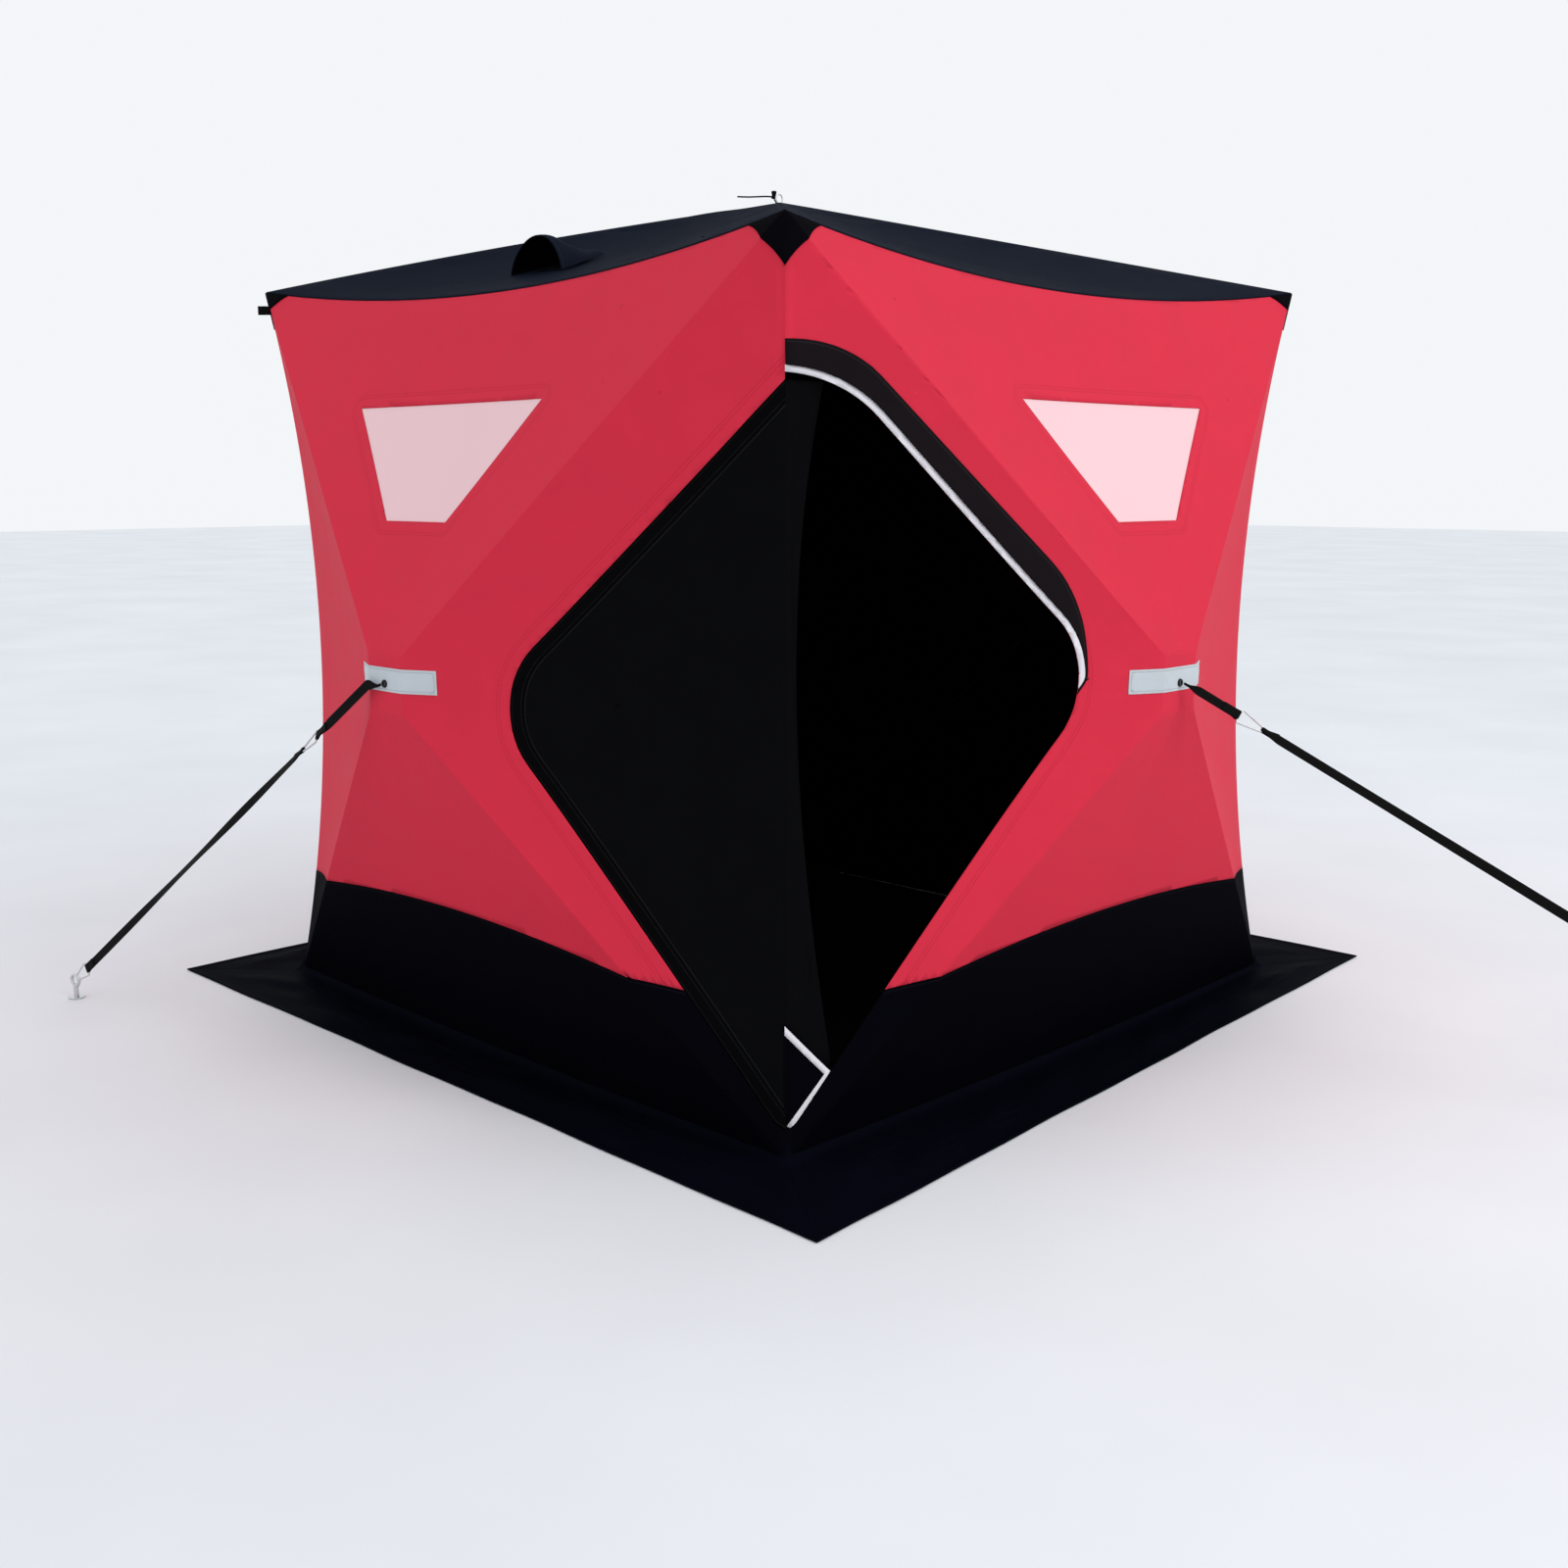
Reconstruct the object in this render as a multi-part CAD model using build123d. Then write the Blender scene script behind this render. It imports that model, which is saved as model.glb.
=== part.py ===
from build123d import *
import math
import os

# Pop-up ice fishing hut on a hub frame. Millimetres, +Z up, with the origin on the ice at the
# middle of the floor. The front wall faces -Y, the right wall +X, the back wall +Y and the left
# wall -X. The door wraps round the corner between the front wall and the right wall.
# Each wall is made as the front wall and turned about Z. Its hub pushes the cloth outward and
# four poles run from the hub to the wall's corners, which folds the cloth into four facets.

# Walls
base_half = 900
wall_height = 1740
hub_height = 870
hub_bulge = 270
plateau_half = 60
corner_waist = 90
seam_sag = 65
seam_inset = 30
base_bow = 20
cloth = 3
band_corner_height = 268
band_middle_height = 358

# Roof and its vent
roof_peak = 1940
vent_x = -150
vent_y = -560
vent_width = 190
vent_depth = 150
vent_rise = 75
vent_tail_width = 104
vent_tail_rise = 12
vent_hole_width = 110
vent_hole_depth = 70
mesh_thickness = 1

# Windows
window_bottom = 1200
window_top = 1445
window_half_top = 330
window_half_bottom = 108
window_offset = 40
window_flange = 20
film = 1

# Door, measured from the door corner along the wall and up from the ice
door_top = 1476
door_bottom = 60
door_shoulder = 128
door_side = 723
door_side_height = 900
door_toe = 18
door_top_radius = 270
door_side_radius = 175
door_toe_radius = 55
front_half_top = 1495
front_half_side = 679
front_half_side_height = 847
tape_width = 12
tape_thickness = 4
flap_top = 1532
flap_shoulder = 136
flap_side = 678
flap_side_height = 1033
flap_end = 676
flap_end_height = 860
flap_shoulder_radius = 230
flap_side_radius = 330
flap_thickness = 2.5
free_edge_top = (68, -1179, 1462)
free_edge_middle = (22, -1140, 870)
free_edge_end = (88, -1195, 165)
tip_end = 113
tip_end_height = 159
tip_corner_height = 312
door_lap = 15

# Ground skirt
skirt_width = 220
skirt_lap = 15
skirt_cloth = 3

# Frame
pole_diameter = 11
pole_reach = 0.965
pole_depth = 10.5
roof_pole_depth = 7.4
pole_play = 0.3
hub_margin = 3
hub_thickness = 22
hub_depth = 20
hub_cap_radius = 26
hub_cap_thickness = 14
socket_wall = 2.7
socket_length = 60
socket_root = 32
seat_gap = 0.3

# Trim
strip_length = 270
strip_height = 50
strip_middle = 879
strip_thickness = 1.5
patch_along = 122
patch_down = 87
patch_side_drop = 9
patch_hollow_along = 46
patch_hollow_down = 37
patch_thickness = 2.5
loop_length = 30
loop_height = 21
loop_thickness = 4
loop_level = 1699
pull_length = 105
pull_width = 12
pull_thickness = 3
pull_foot = 14
pull_foot_end = 2
pull_lean = 16
pull_rise = 26
pull_ring_radius = 13
pull_ring_wire = 4
pull_ring_shift = 2
pull_ring_level = 22
pull_knob_radius = 7
pull_knob_height = 18
pull_knob_shift = 15
pull_knob_level = 22

# Guys
front_guy_shift = -1095
front_guy_reach = 1423
front_link_start = 235
right_guy_shift = 708
right_guy_reach = 2396
right_link_start = 130
strap_width = 22
strap_thickness = 2
eyelet_radius = 14
eyelet_height = 8
link_length = 60
link_width = 40
link_tip_width = 14
link_wire = 4
eye_height = 46
eye_radius = 14
eye_wire = 4
anchor_post_radius = 6
anchor_collar_radius = 20
anchor_collar_height = 4

SIDES = ["front", "right", "back", "left"]
DOOR_SIGN = {"front": 1, "right": -1, "back": 0, "left": 0}
# The anchor's shift along its wall, its distance from the hut's axis, and where the link starts
# along the webbing. The back guy mirrors the front one, and the left guy mirrors the right one.
GUYS = {
    "front": (front_guy_shift, front_guy_reach, front_link_start),
    "right": (right_guy_shift, right_guy_reach, right_link_start),
    "back": (-front_guy_shift, front_guy_reach, front_link_start),
    "left": (-right_guy_shift, right_guy_reach, right_link_start),
}

# Derived sizes
foot = skirt_cloth
wall_middle = (wall_height + foot) / 2
hub_face = base_half + hub_bulge
pole_radius = pole_diameter / 2
socket_radius = pole_radius + pole_play + socket_wall
hub_radius = plateau_half - hub_margin
reach_out = 3 * base_half
root2 = math.sqrt(2)


def gathered(result):
    """The solids of a cut, a union or an intersection, as one shape."""
    solids = result.solids()
    return solids[0] if len(solids) == 1 else Compound(solids)


def joined(first, *others):
    """The union of shapes."""
    return gathered(first.fuse(*others))


def common(first, second):
    """What two shapes share."""
    return gathered(first.intersect(second))


def without(first, *tools):
    """A shape with others cut out of it."""
    return gathered(first.cut(*tools))


def turned(shape, side):
    """A front-wall piece turned to its own side of the hut."""
    return shape.rotate(Axis.Z, 90 * SIDES.index(side))


def from_diagonal(across, along, height):
    """A point given across and along the diagonal plane of the door corner."""
    return Vector((across - along) / root2, (across + along) / root2, height)


def corner_distance(height):
    """How far the bowed corner edge lies from the hut's axis at a height."""
    half = (wall_height - foot) / 2
    radius = (half ** 2 + corner_waist ** 2) / (2 * corner_waist)
    bow = math.sqrt(radius ** 2 - (height - wall_middle) ** 2) - (radius - corner_waist)
    return base_half * root2 - bow


def corner_point(height, sign=1):
    """The point of a front corner edge at a height, with sign 1 for the +X corner."""
    half = corner_distance(height) / root2
    return Vector(sign * half, -half, height)


def corner_arc(low, high, sign=1):
    """The corner edge between two heights."""
    middle = (low + high) / 2
    arc = ThreePointArc(corner_point(low, sign), corner_point(middle, sign), corner_point(high, sign))
    return arc.edge()


def seam_arc():
    """The seam between the front wall and the roof."""
    left = (-base_half, -base_half, wall_height)
    middle = (0, seam_inset - base_half, wall_height - seam_sag)
    right = (base_half, -base_half, wall_height)
    return ThreePointArc(left, middle, right).edge()


def foot_arc():
    """The line where the front wall stands on its skirt."""
    left = (-base_half, -base_half, foot)
    middle = (0, -base_half - base_bow, foot)
    right = (base_half, -base_half, foot)
    return ThreePointArc(left, middle, right).edge()


def plateau_edge(x1, z1, x2, z2):
    """One edge of the small flat square over the hub."""
    start = (x1 * plateau_half, -hub_face, hub_height + z1 * plateau_half)
    end = (x2 * plateau_half, -hub_face, hub_height + z2 * plateau_half)
    return Line(start, end).edge()


def wall_facets():
    """The outside of the front wall: top, bottom, two side facets and the square over the hub."""
    ruled = Face.make_surface_from_curves
    square = [
        plateau_edge(-1, 1, 1, 1),
        plateau_edge(1, 1, 1, -1),
        plateau_edge(1, -1, -1, -1),
        plateau_edge(-1, -1, -1, 1),
    ]
    return [
        ruled(seam_arc(), plateau_edge(-1, 1, 1, 1)),
        ruled(foot_arc(), plateau_edge(-1, -1, 1, -1)),
        ruled(corner_arc(foot, wall_height, 1), plateau_edge(1, -1, 1, 1)),
        ruled(corner_arc(foot, wall_height, -1), plateau_edge(-1, -1, -1, 1)),
        Face(Wire(square)),
    ]


def thickened(faces, direction):
    """Faces that share edges, given one thickness along a direction and joined."""
    solids = [Solid.extrude(face, Vector(*direction)) for face in faces]
    return joined(*solids)


def sector():
    """The quarter of the plan that belongs to the front wall, up to the corner mitres."""
    far = reach_out
    plan = make_face(Polyline((0, 0, -far), (-far, -far, -far), (far, -far, -far), close=True))
    return Solid.extrude(plan.face(), Vector(0, 0, 2 * far))


def through_wall(outline):
    """A prism along the wall's normal over an outline drawn as (x, z)."""
    return Solid.extrude(outline.face(), Vector(0, -reach_out, 0))


def laid_on(prism, thickness):
    """A flat piece sewn to the outside of the front wall, within a prism."""
    return common(thickened(wall_facets(), (0, -thickness, 0)), prism)


def behind_wall(prism, start, end):
    """A layer of the front wall's form between two depths behind its outside, within a prism."""
    faces = [face.translate((0, start, 0)) for face in wall_facets()]
    layer = common(thickened(faces, (0, end - start, 0)), sector())
    return common(layer, prism)


def drawn(points, radii=None, close=False):
    """A line through (x, z) points, with a fillet radius at each inner corner."""
    placed = [(x, 0, z) for x, z in points]
    if radii is None:
        return Polyline(*placed, close=close)
    return FilletPolyline(*placed, radius=radii, close=close)


def outline_face(line):
    """The face inside a line that a straight edge closes."""
    edges = line.edges()
    ends = line.wire()
    closing = Line(ends @ 1, ends @ 0)
    return make_face(Wire([*edges, closing.edge()]))


def from_corner(points, sign):
    """Points given as (distance from the door corner, height), as (x, z) on the wall."""
    return [(sign * (base_half - along), height) for along, height in points]


def door_outline(sign, grow=0):
    """Half of the rounded diamond, from the corner to its side point, offset by grow. The front
    wall's half has a straight upper edge, and the right wall's half has a round shoulder."""
    beyond = -base_half / 4
    radii = [door_side_radius, door_toe_radius]
    if sign > 0:
        slope = (front_half_top - front_half_side_height) / front_half_side
        upper = [(beyond, front_half_top - slope * beyond), (front_half_side, front_half_side_height)]
    else:
        upper = [(beyond, door_top), (door_shoulder, door_top), (door_side, door_side_height)]
        radii.insert(0, door_top_radius)
    corners = [*upper, (door_toe, door_bottom), (beyond, door_bottom)]
    face = outline_face(drawn(from_corner(corners, sign), radii))
    if grow:
        return offset(face, amount=grow)
    return face


def flap_outline(sign):
    """The outer edge of the cover over the zip, closed well inside the door."""
    corners = [
        (-base_half / 4, flap_top),
        (flap_shoulder, flap_top),
        (flap_side, flap_side_height),
        (flap_end, flap_end_height),
    ]
    radii = [flap_shoulder_radius, flap_side_radius]
    line = drawn(from_corner(corners, sign), radii)
    start = line @ 0
    end = line @ 1
    back = Polyline(end, (start.X, 0, end.Z), start)
    return make_face(Wire([*line.edges(), *back.edges()]))


def band_outline():
    """What lies under the arched upper edge of the lower band."""
    past = 1.2
    far = base_half * past
    rise = band_middle_height - band_corner_height
    edge_end = band_corner_height - rise * (past ** 2 - 1)
    arch = ThreePointArc((-far, 0, edge_end), (0, 0, band_middle_height), (far, 0, edge_end))
    under = Polyline((far, 0, edge_end), (far, 0, -far), (-far, 0, -far), (-far, 0, edge_end))
    return make_face(Wire([arch.edge(), *under.edges()]))


def window_outline(sign, grow=0):
    """The window's trapezoid, moved away from the door corner."""
    middle = -sign * window_offset
    corners = [
        (middle - window_half_top, window_top),
        (middle + window_half_top, window_top),
        (middle + window_half_bottom, window_bottom),
        (middle - window_half_bottom, window_bottom),
    ]
    face = make_face(drawn(corners, close=True))
    if grow:
        return offset(face, amount=grow)
    return face


def wall_shell():
    """The cloth of a whole wall, mitred at both corner edges."""
    return common(thickened(wall_facets(), (0, cloth, 0)), sector())


def wall_pieces(shell, side):
    """The upper cloth, the lower band and the window film of one wall, as the front wall."""
    sign = DOOR_SIGN[side]
    body = without(shell, through_wall(window_outline(sign)))
    if sign:
        body = without(body, through_wall(door_outline(sign)))
    below = through_wall(band_outline())
    upper = without(body, below)
    band = common(body, below)
    top_facet = wall_facets()[0].translate((0, cloth, 0))
    pane = Solid.extrude(top_facet, Vector(0, film, 0))
    pane = common(pane, through_wall(window_outline(sign, window_flange)))
    return upper, band, pane


def hub_strip():
    """The pale strip that takes a hub's eyelet."""
    low = strip_middle - strip_height / 2
    high = strip_middle + strip_height / 2
    half = strip_length / 2
    outline = drawn([(-half, high), (half, high), (half, low), (-half, low)], close=True)
    return laid_on(through_wall(make_face(outline)), strip_thickness)


def skirt():
    """The cloth on the ice along the front wall, mitred at the corners."""
    outer = base_half + skirt_width
    inner = base_half - skirt_lap
    edge = ThreePointArc((inner, -inner, 0), (0, -inner - base_bow, 0), (-inner, -inner, 0))
    rim = Polyline((-inner, -inner, 0), (-outer, -outer, 0), (outer, -outer, 0), (inner, -inner, 0))
    plan = make_face(Wire([edge.edge(), *rim.edges()]))
    return Solid.extrude(plan.face(), Vector(0, 0, skirt_cloth))


def rod(start, end, radius):
    """A round bar between two points."""
    direction = end - start
    place = Plane(origin=start, z_dir=direction)
    return Solid.make_cylinder(radius, direction.length, place)


def frame_set(hub_centre, inward, creases, hub_offset, end_offset):
    """A hub with four sockets, and its four poles, which run just inside the cloth's creases."""
    place = Plane(origin=hub_centre, z_dir=inward)
    hub = Solid.make_cylinder(hub_radius, hub_thickness, place)
    cap_place = Plane(origin=hub_centre + inward * hub_thickness, z_dir=inward)
    hub = joined(hub, Solid.make_cylinder(hub_cap_radius, hub_cap_thickness, cap_place))
    poles = []
    bores = []
    for crease_start, crease_end in creases:
        start = crease_start + inward * hub_offset
        end = crease_start + (crease_end - crease_start) * pole_reach + inward * end_offset
        along = (end - start).normalized()
        hub = joined(hub, rod(start - along * socket_root, start + along * socket_length, socket_radius))
        poles.append(rod(start + along * seat_gap, end, pole_radius))
        bores.append(rod(start, end, pole_radius + pole_play))
    return without(hub, *bores), poles


def wall_frame():
    """The hub and poles of the front wall."""
    creases = []
    for x in (-1, 1):
        for z, far_height in ((-1, foot), (1, wall_height)):
            start = Vector(x * plateau_half, -hub_face, hub_height + z * plateau_half)
            creases.append((start, Vector(x * base_half, -base_half, far_height)))
    centre = Vector(0, cloth + seat_gap - hub_face, hub_height)
    return frame_set(centre, Vector(0, 1, 0), creases, hub_depth, pole_depth)


def roof_frame():
    """The hub and poles under the roof."""
    creases = []
    for x in (-1, 1):
        for y in (-1, 1):
            start = Vector(x * plateau_half, y * plateau_half, roof_peak)
            creases.append((start, Vector(x * base_half, y * base_half, wall_height)))
    centre = Vector(0, 0, roof_peak - seat_gap)
    return frame_set(centre, Vector(0, 0, -1), creases, hub_depth - cloth, roof_pole_depth)


def roof_faces():
    """The underside of the front roof panel: the gore and its share of the square on top."""
    left = (-plateau_half, -plateau_half, roof_peak)
    right = (plateau_half, -plateau_half, roof_peak)
    gore = Face.make_surface_from_curves(seam_arc(), Line(left, right).edge())
    tip = make_face(Polyline(left, right, (0, 0, roof_peak), close=True))
    return [gore, tip.face()]


def vent_arch(half_width, rise, distance, place):
    """A rounded arch that stands across the roof's slope, closed under the roof cloth."""
    sink = 3 * cloth
    left = place.from_local_coords(Vector(-half_width, distance, -sink))
    right = place.from_local_coords(Vector(half_width, distance, -sink))
    top = place.from_local_coords(Vector(0, distance, rise))
    arch = ThreePointArc(left, top, right)
    return Wire([arch.edge(), Line(right, left).edge()])


def vent_place():
    """A plane on the roof at the vent's mouth, with y up the slope."""
    run = base_half - seam_inset - plateau_half
    rise = roof_peak - wall_height + seam_sag
    height = roof_peak - (-vent_y - plateau_half) * rise / run
    normal = Vector(0, -rise, run)
    origin = Vector(vent_x, vent_y - vent_depth / 2, height - vent_depth / 2 * rise / run)
    return Plane(origin=origin, x_dir=(1, 0, 0), z_dir=normal)


def vent_hood():
    """A hood with its mouth down the slope, and the roof's own surface as its foot."""
    place = vent_place()
    half = vent_width / 2
    tail = vent_tail_width / 2
    outer = Solid.make_loft([
        vent_arch(half, vent_rise, 0, place),
        vent_arch(tail, vent_tail_rise, vent_depth, place),
    ])
    inner = Solid.make_loft([
        vent_arch(half - cloth, vent_rise - cloth, -cloth, place),
        vent_arch(tail - cloth, vent_tail_rise - cloth, vent_depth - cloth, place),
    ])
    gore_top = roof_faces()[0].translate((0, 0, cloth))
    under = Solid.extrude(gore_top, Vector(0, 0, -base_half))
    return without(outer, inner, under)


def vent_hole(grow=0):
    """The prism of the vent's opening in the roof cloth."""
    half_x = vent_hole_width / 2 + grow
    half_y = vent_hole_depth / 2 + grow
    plan = Plane(origin=(vent_x, vent_y, 0)) * Rectangle(2 * half_x, 2 * half_y)
    return Solid.extrude(plan.face(), Vector(0, 0, reach_out))


def roof_panel(with_vent):
    """One quarter of the roof."""
    panel = thickened(roof_faces(), (0, 0, cloth))
    if with_vent:
        panel = without(panel, vent_hole())
    return panel


def vent_mesh():
    """The insect mesh under the vent's opening."""
    gore = roof_faces()[0]
    sheet = Solid.extrude(gore, Vector(0, 0, -mesh_thickness))
    return common(sheet, vent_hole(window_flange))


def corner_patch():
    """The kite of roof cloth folded down over the door corner."""
    outward = Vector(1, -1, 0).normalized() * patch_thickness
    edge_x = base_half - patch_along
    edge_z = wall_height - patch_down
    side_z = wall_height - patch_side_drop
    far_x = base_half * 1.1
    far_z = wall_height * 1.1
    curve = ThreePointArc(
        (edge_x, 0, side_z),
        (base_half - patch_hollow_along, 0, wall_height - patch_hollow_down),
        (base_half, 0, edge_z),
    )
    rest = Polyline(
        (base_half, 0, edge_z),
        (far_x, 0, edge_z),
        (far_x, 0, far_z),
        (edge_x, 0, far_z),
        (edge_x, 0, side_z),
    )
    outline = make_face(Wire([curve.edge(), *rest.edges()]))
    facets = wall_facets()
    near_corner = [facets[0], facets[2]]
    half = common(thickened(near_corner, (outward.X, outward.Y, 0)), through_wall(outline))
    other = half.mirror(Plane(origin=(0, 0, 0), z_dir=(1, 1, 0)))
    return joined(half, other)


def corner_loop(patch):
    """The webbing loop on the front left corner's patch, cut to the patch that it is sewn to."""
    place = Plane(origin=(0, 0, loop_level)).rotated((0, 0, 225))
    box = Box(loop_length, loop_thickness, loop_height, align=(Align.MIN, Align.CENTER, Align.CENTER))
    loop = place * Pos(corner_distance(loop_level), 0, 0) * box
    seat = turned(patch, "left")
    return max(without(loop, seat).solids(), key=lambda piece: piece.volume)


def tip_outline():
    """What lies under the upper edge of the part of the door that is still zipped."""
    rise = tip_corner_height - tip_end_height
    corners = [
        (2 * tip_end, tip_end_height - rise),
        (-tip_end, tip_corner_height + rise),
        (-tip_end, tip_end_height - rise),
    ]
    return make_face(drawn(from_corner(corners, -1), close=True))


def door_panel():
    """The open door's cloth: behind the front wall's half of the door and a little past the
    corner, up to the fold of its open half, with its last part still zipped to the right wall."""
    front_half = behind_wall(through_wall(door_outline(1, door_lap)), cloth, 2 * cloth)
    zipped = common(through_wall(door_outline(-1, door_lap)), through_wall(tip_outline()))
    tip = behind_wall(zipped, cloth, 2 * cloth)
    inward = Vector(-1, 1, 0).normalized() * cloth * root2
    hinge = corner_arc(free_edge_end[2], free_edge_top[2]).translate(inward)
    fold = ThreePointArc(
        from_diagonal(*free_edge_end),
        from_diagonal(*free_edge_middle),
        from_diagonal(*free_edge_top),
    )
    strip = Solid.extrude(Face.make_surface_from_curves(hinge, fold.edge()), inward)
    return joined(front_half, strip, turned(tip, "right"))


def zip_cover():
    """The cover over the zip along the upper edge of the right wall's half of the door."""
    ring = without(through_wall(flap_outline(-1)), through_wall(door_outline(-1, tape_width)))
    return turned(laid_on(ring, flap_thickness), "right")


def upper_tape():
    """The pale tape along the zip, above the door's side point."""
    ring = without(through_wall(door_outline(-1, tape_width)), through_wall(door_outline(-1)))
    above = [
        (-base_half / 4, wall_height),
        (base_half, wall_height),
        (base_half, flap_end_height),
        (-base_half / 4, flap_end_height),
    ]
    keep = through_wall(make_face(drawn(from_corner(above, -1), close=True)))
    return turned(laid_on(common(ring, keep), tape_thickness), "right")


def lower_tape():
    """The pale tape round the part of the door that is still zipped at the bottom."""
    half = tape_width / 2
    slope = (tip_corner_height - tip_end_height) / tip_end
    path = [
        (door_toe, door_bottom + half),
        (tip_end - tape_width, tip_end_height),
        (half, tip_corner_height - slope * tape_width - tape_width),
    ]
    line = drawn(from_corner(path, -1))
    outline = Plane.XZ * trace(Plane.XZ.to_local_coords(line), tape_width)
    ring = common(through_wall(outline), through_wall(door_outline(-1, -seat_gap)))
    return turned(behind_wall(ring, 0, cloth), "right")


def roof_pull():
    """The strap sewn on the roof hub: a flat foot, a lean and a level run, with ring and toggle."""
    along = from_diagonal(-1, 0, 0)
    place = Plane(origin=(0, 0, roof_peak + cloth), x_dir=along, z_dir=along.cross(Vector(0, 0, 1)))
    slant = math.hypot(pull_lean, pull_rise)
    mitre = pull_thickness * (slant - pull_lean) / pull_rise
    lean_end = pull_foot_end + pull_lean
    strap_top = pull_rise + pull_thickness
    outline = Polyline(
        (-pull_foot, 0), (pull_foot_end, 0), (lean_end, pull_rise), (pull_length, pull_rise),
        (pull_length, strap_top), (lean_end - mitre, strap_top),
        (pull_foot_end - mitre, pull_thickness), (-pull_foot, pull_thickness), close=True)
    strap = extrude(make_face(outline), amount=pull_width / 2, both=True)
    ring_place = Pos(pull_ring_shift, pull_ring_level, 0) * Rot(0, 45, 0)
    ring = ring_place * (Cylinder(pull_ring_radius, pull_ring_wire)
                         - Cylinder(pull_ring_radius - pull_ring_wire, pull_ring_wire))
    low_end = (Align.CENTER, Align.CENTER, Align.MIN)
    toggle = Pos(pull_knob_shift, pull_knob_level, 0) * Rot(-90, 0, 0) * Cylinder(
        pull_knob_radius, pull_knob_height, align=low_end)
    return place * joined(strap.solid(), ring.solid(), toggle.solid())


def webbing_across(direction):
    """The way that the webbing's width lies: across the guy, and level with its wall."""
    return direction.cross(Vector(0, -1, 0)).normalized()


def strap_run(start, direction, first, last):
    """A flat run of webbing along a guy, between two distances from its start."""
    place = Plane(origin=start + direction * first, x_dir=webbing_across(direction), z_dir=direction)
    low_end = (Align.CENTER, Align.CENTER, Align.MIN)
    return place * Box(strap_width, strap_thickness, last - first, align=low_end)


def wire_link(start, direction, first):
    """A triangular link in the plane of the webbing, with its point towards the anchor."""
    across = webbing_across(direction)
    place = Plane(origin=start + direction * first, x_dir=across, z_dir=across.cross(direction))
    half = link_width / 2
    tip = link_tip_width / 2
    outer = Polyline((-half, 0), (half, 0), (tip, link_length), (-tip, link_length), close=True)
    face = fillet(make_face(outer).vertices(), link_wire)
    window = offset(face, amount=-link_wire)
    ring = extrude(face - window, amount=link_wire / 2, both=True)
    return place * ring


def ice_anchor(foot_point, direction):
    """The head of an ice screw with its eye: the screw itself is in the ice."""
    collar = Solid.make_cylinder(anchor_collar_radius, anchor_collar_height)
    post = Solid.make_cylinder(anchor_post_radius, eye_height - eye_radius)
    section = RegularPolygon(eye_wire, 8, major_radius=False)
    ring = revolve(Plane.XZ * Pos(eye_radius, 0) * section, Axis.Z)
    eye = Pos(0, 0, eye_height) * Rot(90, 0, 0) * ring
    along = Vector(direction.X, direction.Y, 0)
    return Plane(origin=foot_point, x_dir=along) * joined(collar, post, eye)


def guy(side):
    """One guy as the front wall's: its webbing, its steel, and the anchor that it runs to."""
    shift, reach, link_start = GUYS[side]
    seat = hub_face + strip_thickness
    eyelet_place = Plane(origin=(0, -seat, hub_height), z_dir=(0, -1, 0))
    eyelet = Solid.make_cylinder(eyelet_radius, eyelet_height, eyelet_place)
    start = Vector(0, -seat - eyelet_height, hub_height)
    eye = Vector(shift, -reach, eye_height)
    hook_start = (eye - start).length - eye_radius - eye_wire - seat_gap - link_length
    direction = (eye - start).normalized()
    straps = [
        without(strap_run(start, direction, 0, link_start), eyelet),
        strap_run(start, direction, link_start + link_length, hook_start),
    ]
    steel = [eyelet] + [wire_link(start, direction, first) for first in (link_start, hook_start)]
    return straps, steel, ice_anchor(Vector(shift, -reach, 0), direction)


def write(name, *shapes):
    """Writes one piece, or several like pieces that don't touch, under its plain name."""
    solids = []
    for shape in shapes:
        solids.extend(shape.solids())
    body = solids[0] if len(solids) == 1 else Compound(solids)
    export_step(body, f"parts/{name}.step")


def main():
    os.makedirs("parts", exist_ok=True)
    shell = wall_shell()
    wall_hub, wall_poles = wall_frame()
    ground_skirt = skirt()
    patch = corner_patch()
    links = []
    anchors = []
    for side in SIDES:
        upper, band, pane = wall_pieces(shell, side)
        write(f"{side}_wall", turned(upper, side))
        write(f"{side}_lower_band", turned(band, side))
        write(f"{side}_window", turned(pane, side))
        write(f"{side}_snow_skirt", turned(ground_skirt, side))
        write(f"{side}_roof_panel", turned(roof_panel(side == "front"), side))
        straps, steel, anchor = guy(side)
        write(f"{side}_guy_strap", *[turned(piece, side) for piece in straps])
        links.extend(turned(piece, side) for piece in steel)
        anchors.append(turned(anchor, side))
    write("guy_links", *links)
    write("ice_anchors", *anchors)
    write("wall_hubs", *[turned(wall_hub, side) for side in SIDES])
    write("wall_poles", *[turned(pole, side) for side in SIDES for pole in wall_poles])
    strip = hub_strip()
    write("hub_strips", *[turned(strip, side) for side in SIDES])
    write("corner_patches", *[turned(patch, side) for side in SIDES])
    roof_hub, roof_poles = roof_frame()
    write("roof_hub", roof_hub)
    write("roof_poles", *roof_poles)
    write("roof_vent_hood", vent_hood())
    write("roof_vent_mesh", vent_mesh())
    write("roof_pull", roof_pull())
    write("corner_loop", corner_loop(patch))
    write("door_panel", door_panel())
    write("door_zip_cover", zip_cover())
    write("door_upper_tape", upper_tape())
    write("door_lower_tape", lower_tape())


main()
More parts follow.
